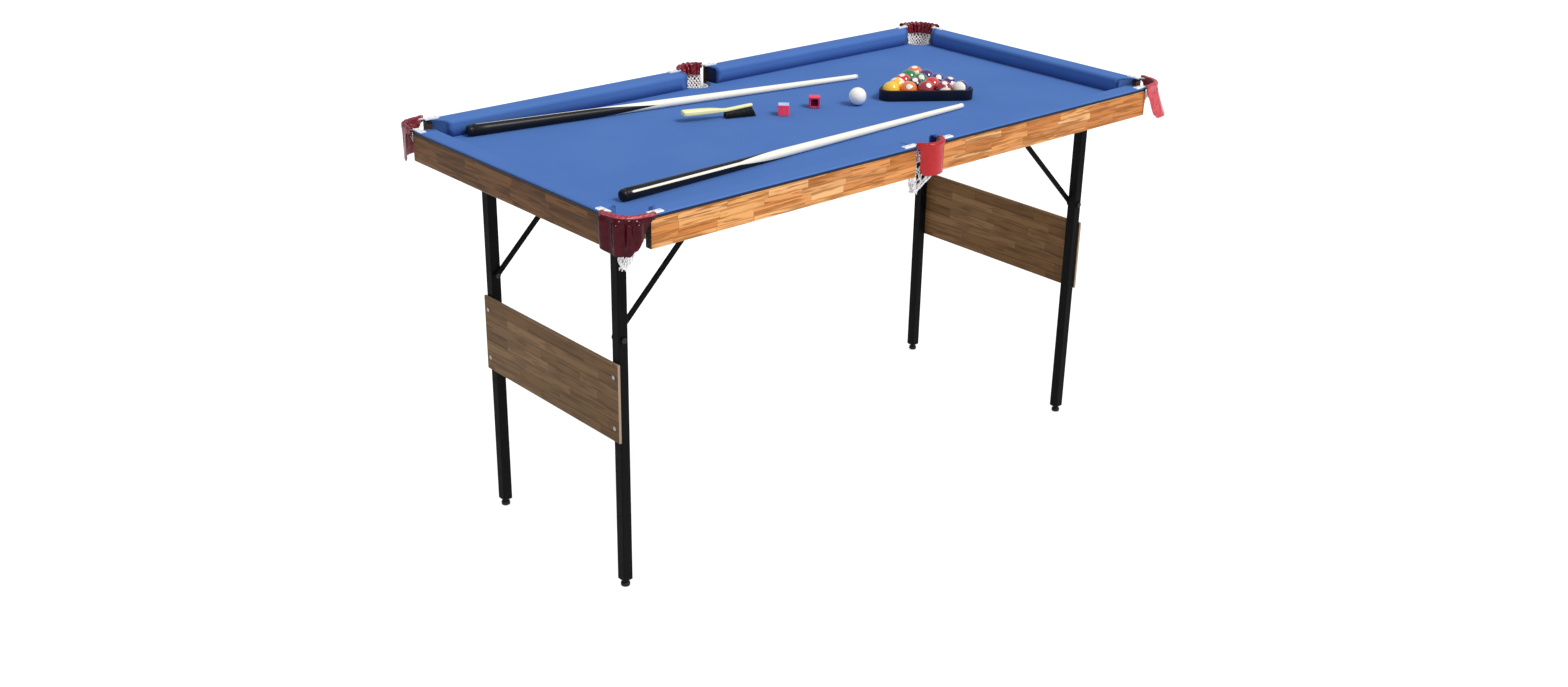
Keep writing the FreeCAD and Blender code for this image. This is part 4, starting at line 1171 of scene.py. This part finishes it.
def chalk_finish(name, shade, deep, hollow=None):
    """Dusty pressed chalk, in a darker colour round its worn hollow if it has one."""
    finish = Finish(name, shade, 0.95, Specular_IOR_Level=0.1)
    dust = finish.noise(420, 5.0, 0.7)
    finish.blend(dust, (0.35, 0.7), (0.65, 0.0), deep)
    if hollow:
        across = finish.math("MAXIMUM", *[finish.math("ABSOLUTE", part) for part in finish.parts()[:2]])
        finish.cover(finish.math("LESS_THAN", across, 6.9 * MM), hollow)
    finish.bump(dust, 0.25 * MM, 0.6)
    return finish.material


def label_finish():
    """The red paper round a cube, scuffed pale at random."""
    finish = Finish("chalk_label", linear(255, 74, 104), 0.7, Specular_IOR_Level=0.1)
    scuff = finish.noise(300, 4.0, 0.65)
    finish.blend(scuff, (0.52, 0.0), (0.78, 0.6), linear(246, 140, 150))
    finish.bump(scuff, 0.06 * MM, 0.4)
    return finish.material


def make_chalk():
    """One cube lies with its hollow up, and the other on its side."""
    label = label_finish()
    pale = chalk_finish("chalk", linear(190, 206, 236), linear(150, 172, 216))
    dark = chalk_finish("chalk_used", linear(214, 70, 112), linear(180, 44, 88), linear(74, 10, 34))
    turn = Matrix.Rotation(math.radians(-42), 3, "Z")
    tipped = turn @ Matrix.Rotation(math.radians(90), 3, "X")
    height = SET_REST + CHALK_HALF
    chalk_cube("near", placed(Vector((-10 * MM, 41 * MM, height)), turn), pale, label, 1.6 * MM)
    chalk_cube("far", placed(Vector((76 * MM, 45 * MM, height)), tipped), dark, label, 3.2 * MM)


# ---------------------------------------------------------------- stage


def make_camera():
    """A camera at a standing viewer's height, off the table's near left corner."""
    place = (-2.1430, -2.3322, 1.6266)
    yaw, pitch, roll = (math.radians(a) for a in (42.13, 23.48, 1.14))
    camera = bpy.data.cameras.new("camera")
    camera.sensor_width = 36
    camera.lens = 38.39
    camera.clip_end = 60
    obj = linked("camera", camera)
    level = Matrix.Rotation(-yaw, 3, "Z") @ Matrix.Rotation(math.pi / 2 - pitch, 3, "X")
    obj.matrix_world = placed(place, level @ Matrix.Rotation(roll, 3, "Z"))
    bpy.context.scene.camera = obj


def sun(name, direction, strength, angle, colour=(1, 1, 1)):
    """A sun in a direction from the table, as wide as an angle in degrees."""
    light = bpy.data.lights.new(name, "SUN")
    light.energy = strength
    light.angle = math.radians(angle)
    light.color = colour
    obj = linked(name, light)
    obj.rotation_mode = "QUATERNION"
    obj.rotation_quaternion = Vector(direction).to_track_quat("Z", "Y")
    return obj


def link_light(light, obj, state):
    """Keeps a light for one object alone, or off it."""
    group = bpy.data.collections.new(f"{light.name}_receivers")
    group.objects.link(obj)
    light.light_linking.receiver_collection = group
    group.collection_objects[0].light_linking.link_state = state


def make_stage(dark_leather):
    """A white floor and a pale sky, with a key light, a wash for the floor and a glint on one leather."""
    reach = 30.0
    corners = [(-reach, -reach, 0), (reach, -reach, 0), (reach, reach, 0), (-reach, reach, 0)]
    mesh = bpy.data.meshes.new("floor")
    mesh.from_pydata(corners, [], [(0, 1, 2, 3)])
    floor = linked("floor", mesh)
    finish = Finish("floor", (0.86, 0.86, 0.86), 0.9, Specular_IOR_Level=0.1)
    finish.blend(finish.noise(3, 2.0), (0.3, 0.0), (0.7, 1.0), (0.84, 0.84, 0.845))
    mesh.materials.append(finish.material)
    world = bpy.data.worlds.new("studio")
    world.use_nodes = True
    background = world.node_tree.nodes["Background"]
    background.inputs["Color"].default_value = (0.93, 0.96, 1.0, 1)
    background.inputs["Strength"].default_value = 0.62
    bpy.context.scene.world = world
    link_light(sun("key", (0.20, -0.62, 0.76), 2.3, 22, (1.0, 0.985, 0.96)), floor, "EXCLUDE")
    wash = sun("floor_wash", (0.15, -0.2, 1.0), 2.8, 60)
    wash.data.use_shadow = False
    link_light(wash, floor, "INCLUDE")
    link_light(sun("glint", (-0.55, -0.82, 0.26), 5.0, 24), dark_leather, "INCLUDE")
    bpy.context.scene.view_settings.view_transform = "Standard"


make_camera()
paint_nodes()
make_rails()
make_bed()
make_stage(make_pockets()["front_left"])
make_cue("front", (-0.577, -0.190), (0.308, -0.143), 149, 0.11)
make_cue("rear", (-0.574, 0.291), (0.300, 0.153), 82, 0.10)
make_balls()
make_rack()
make_brush()
make_chalk()
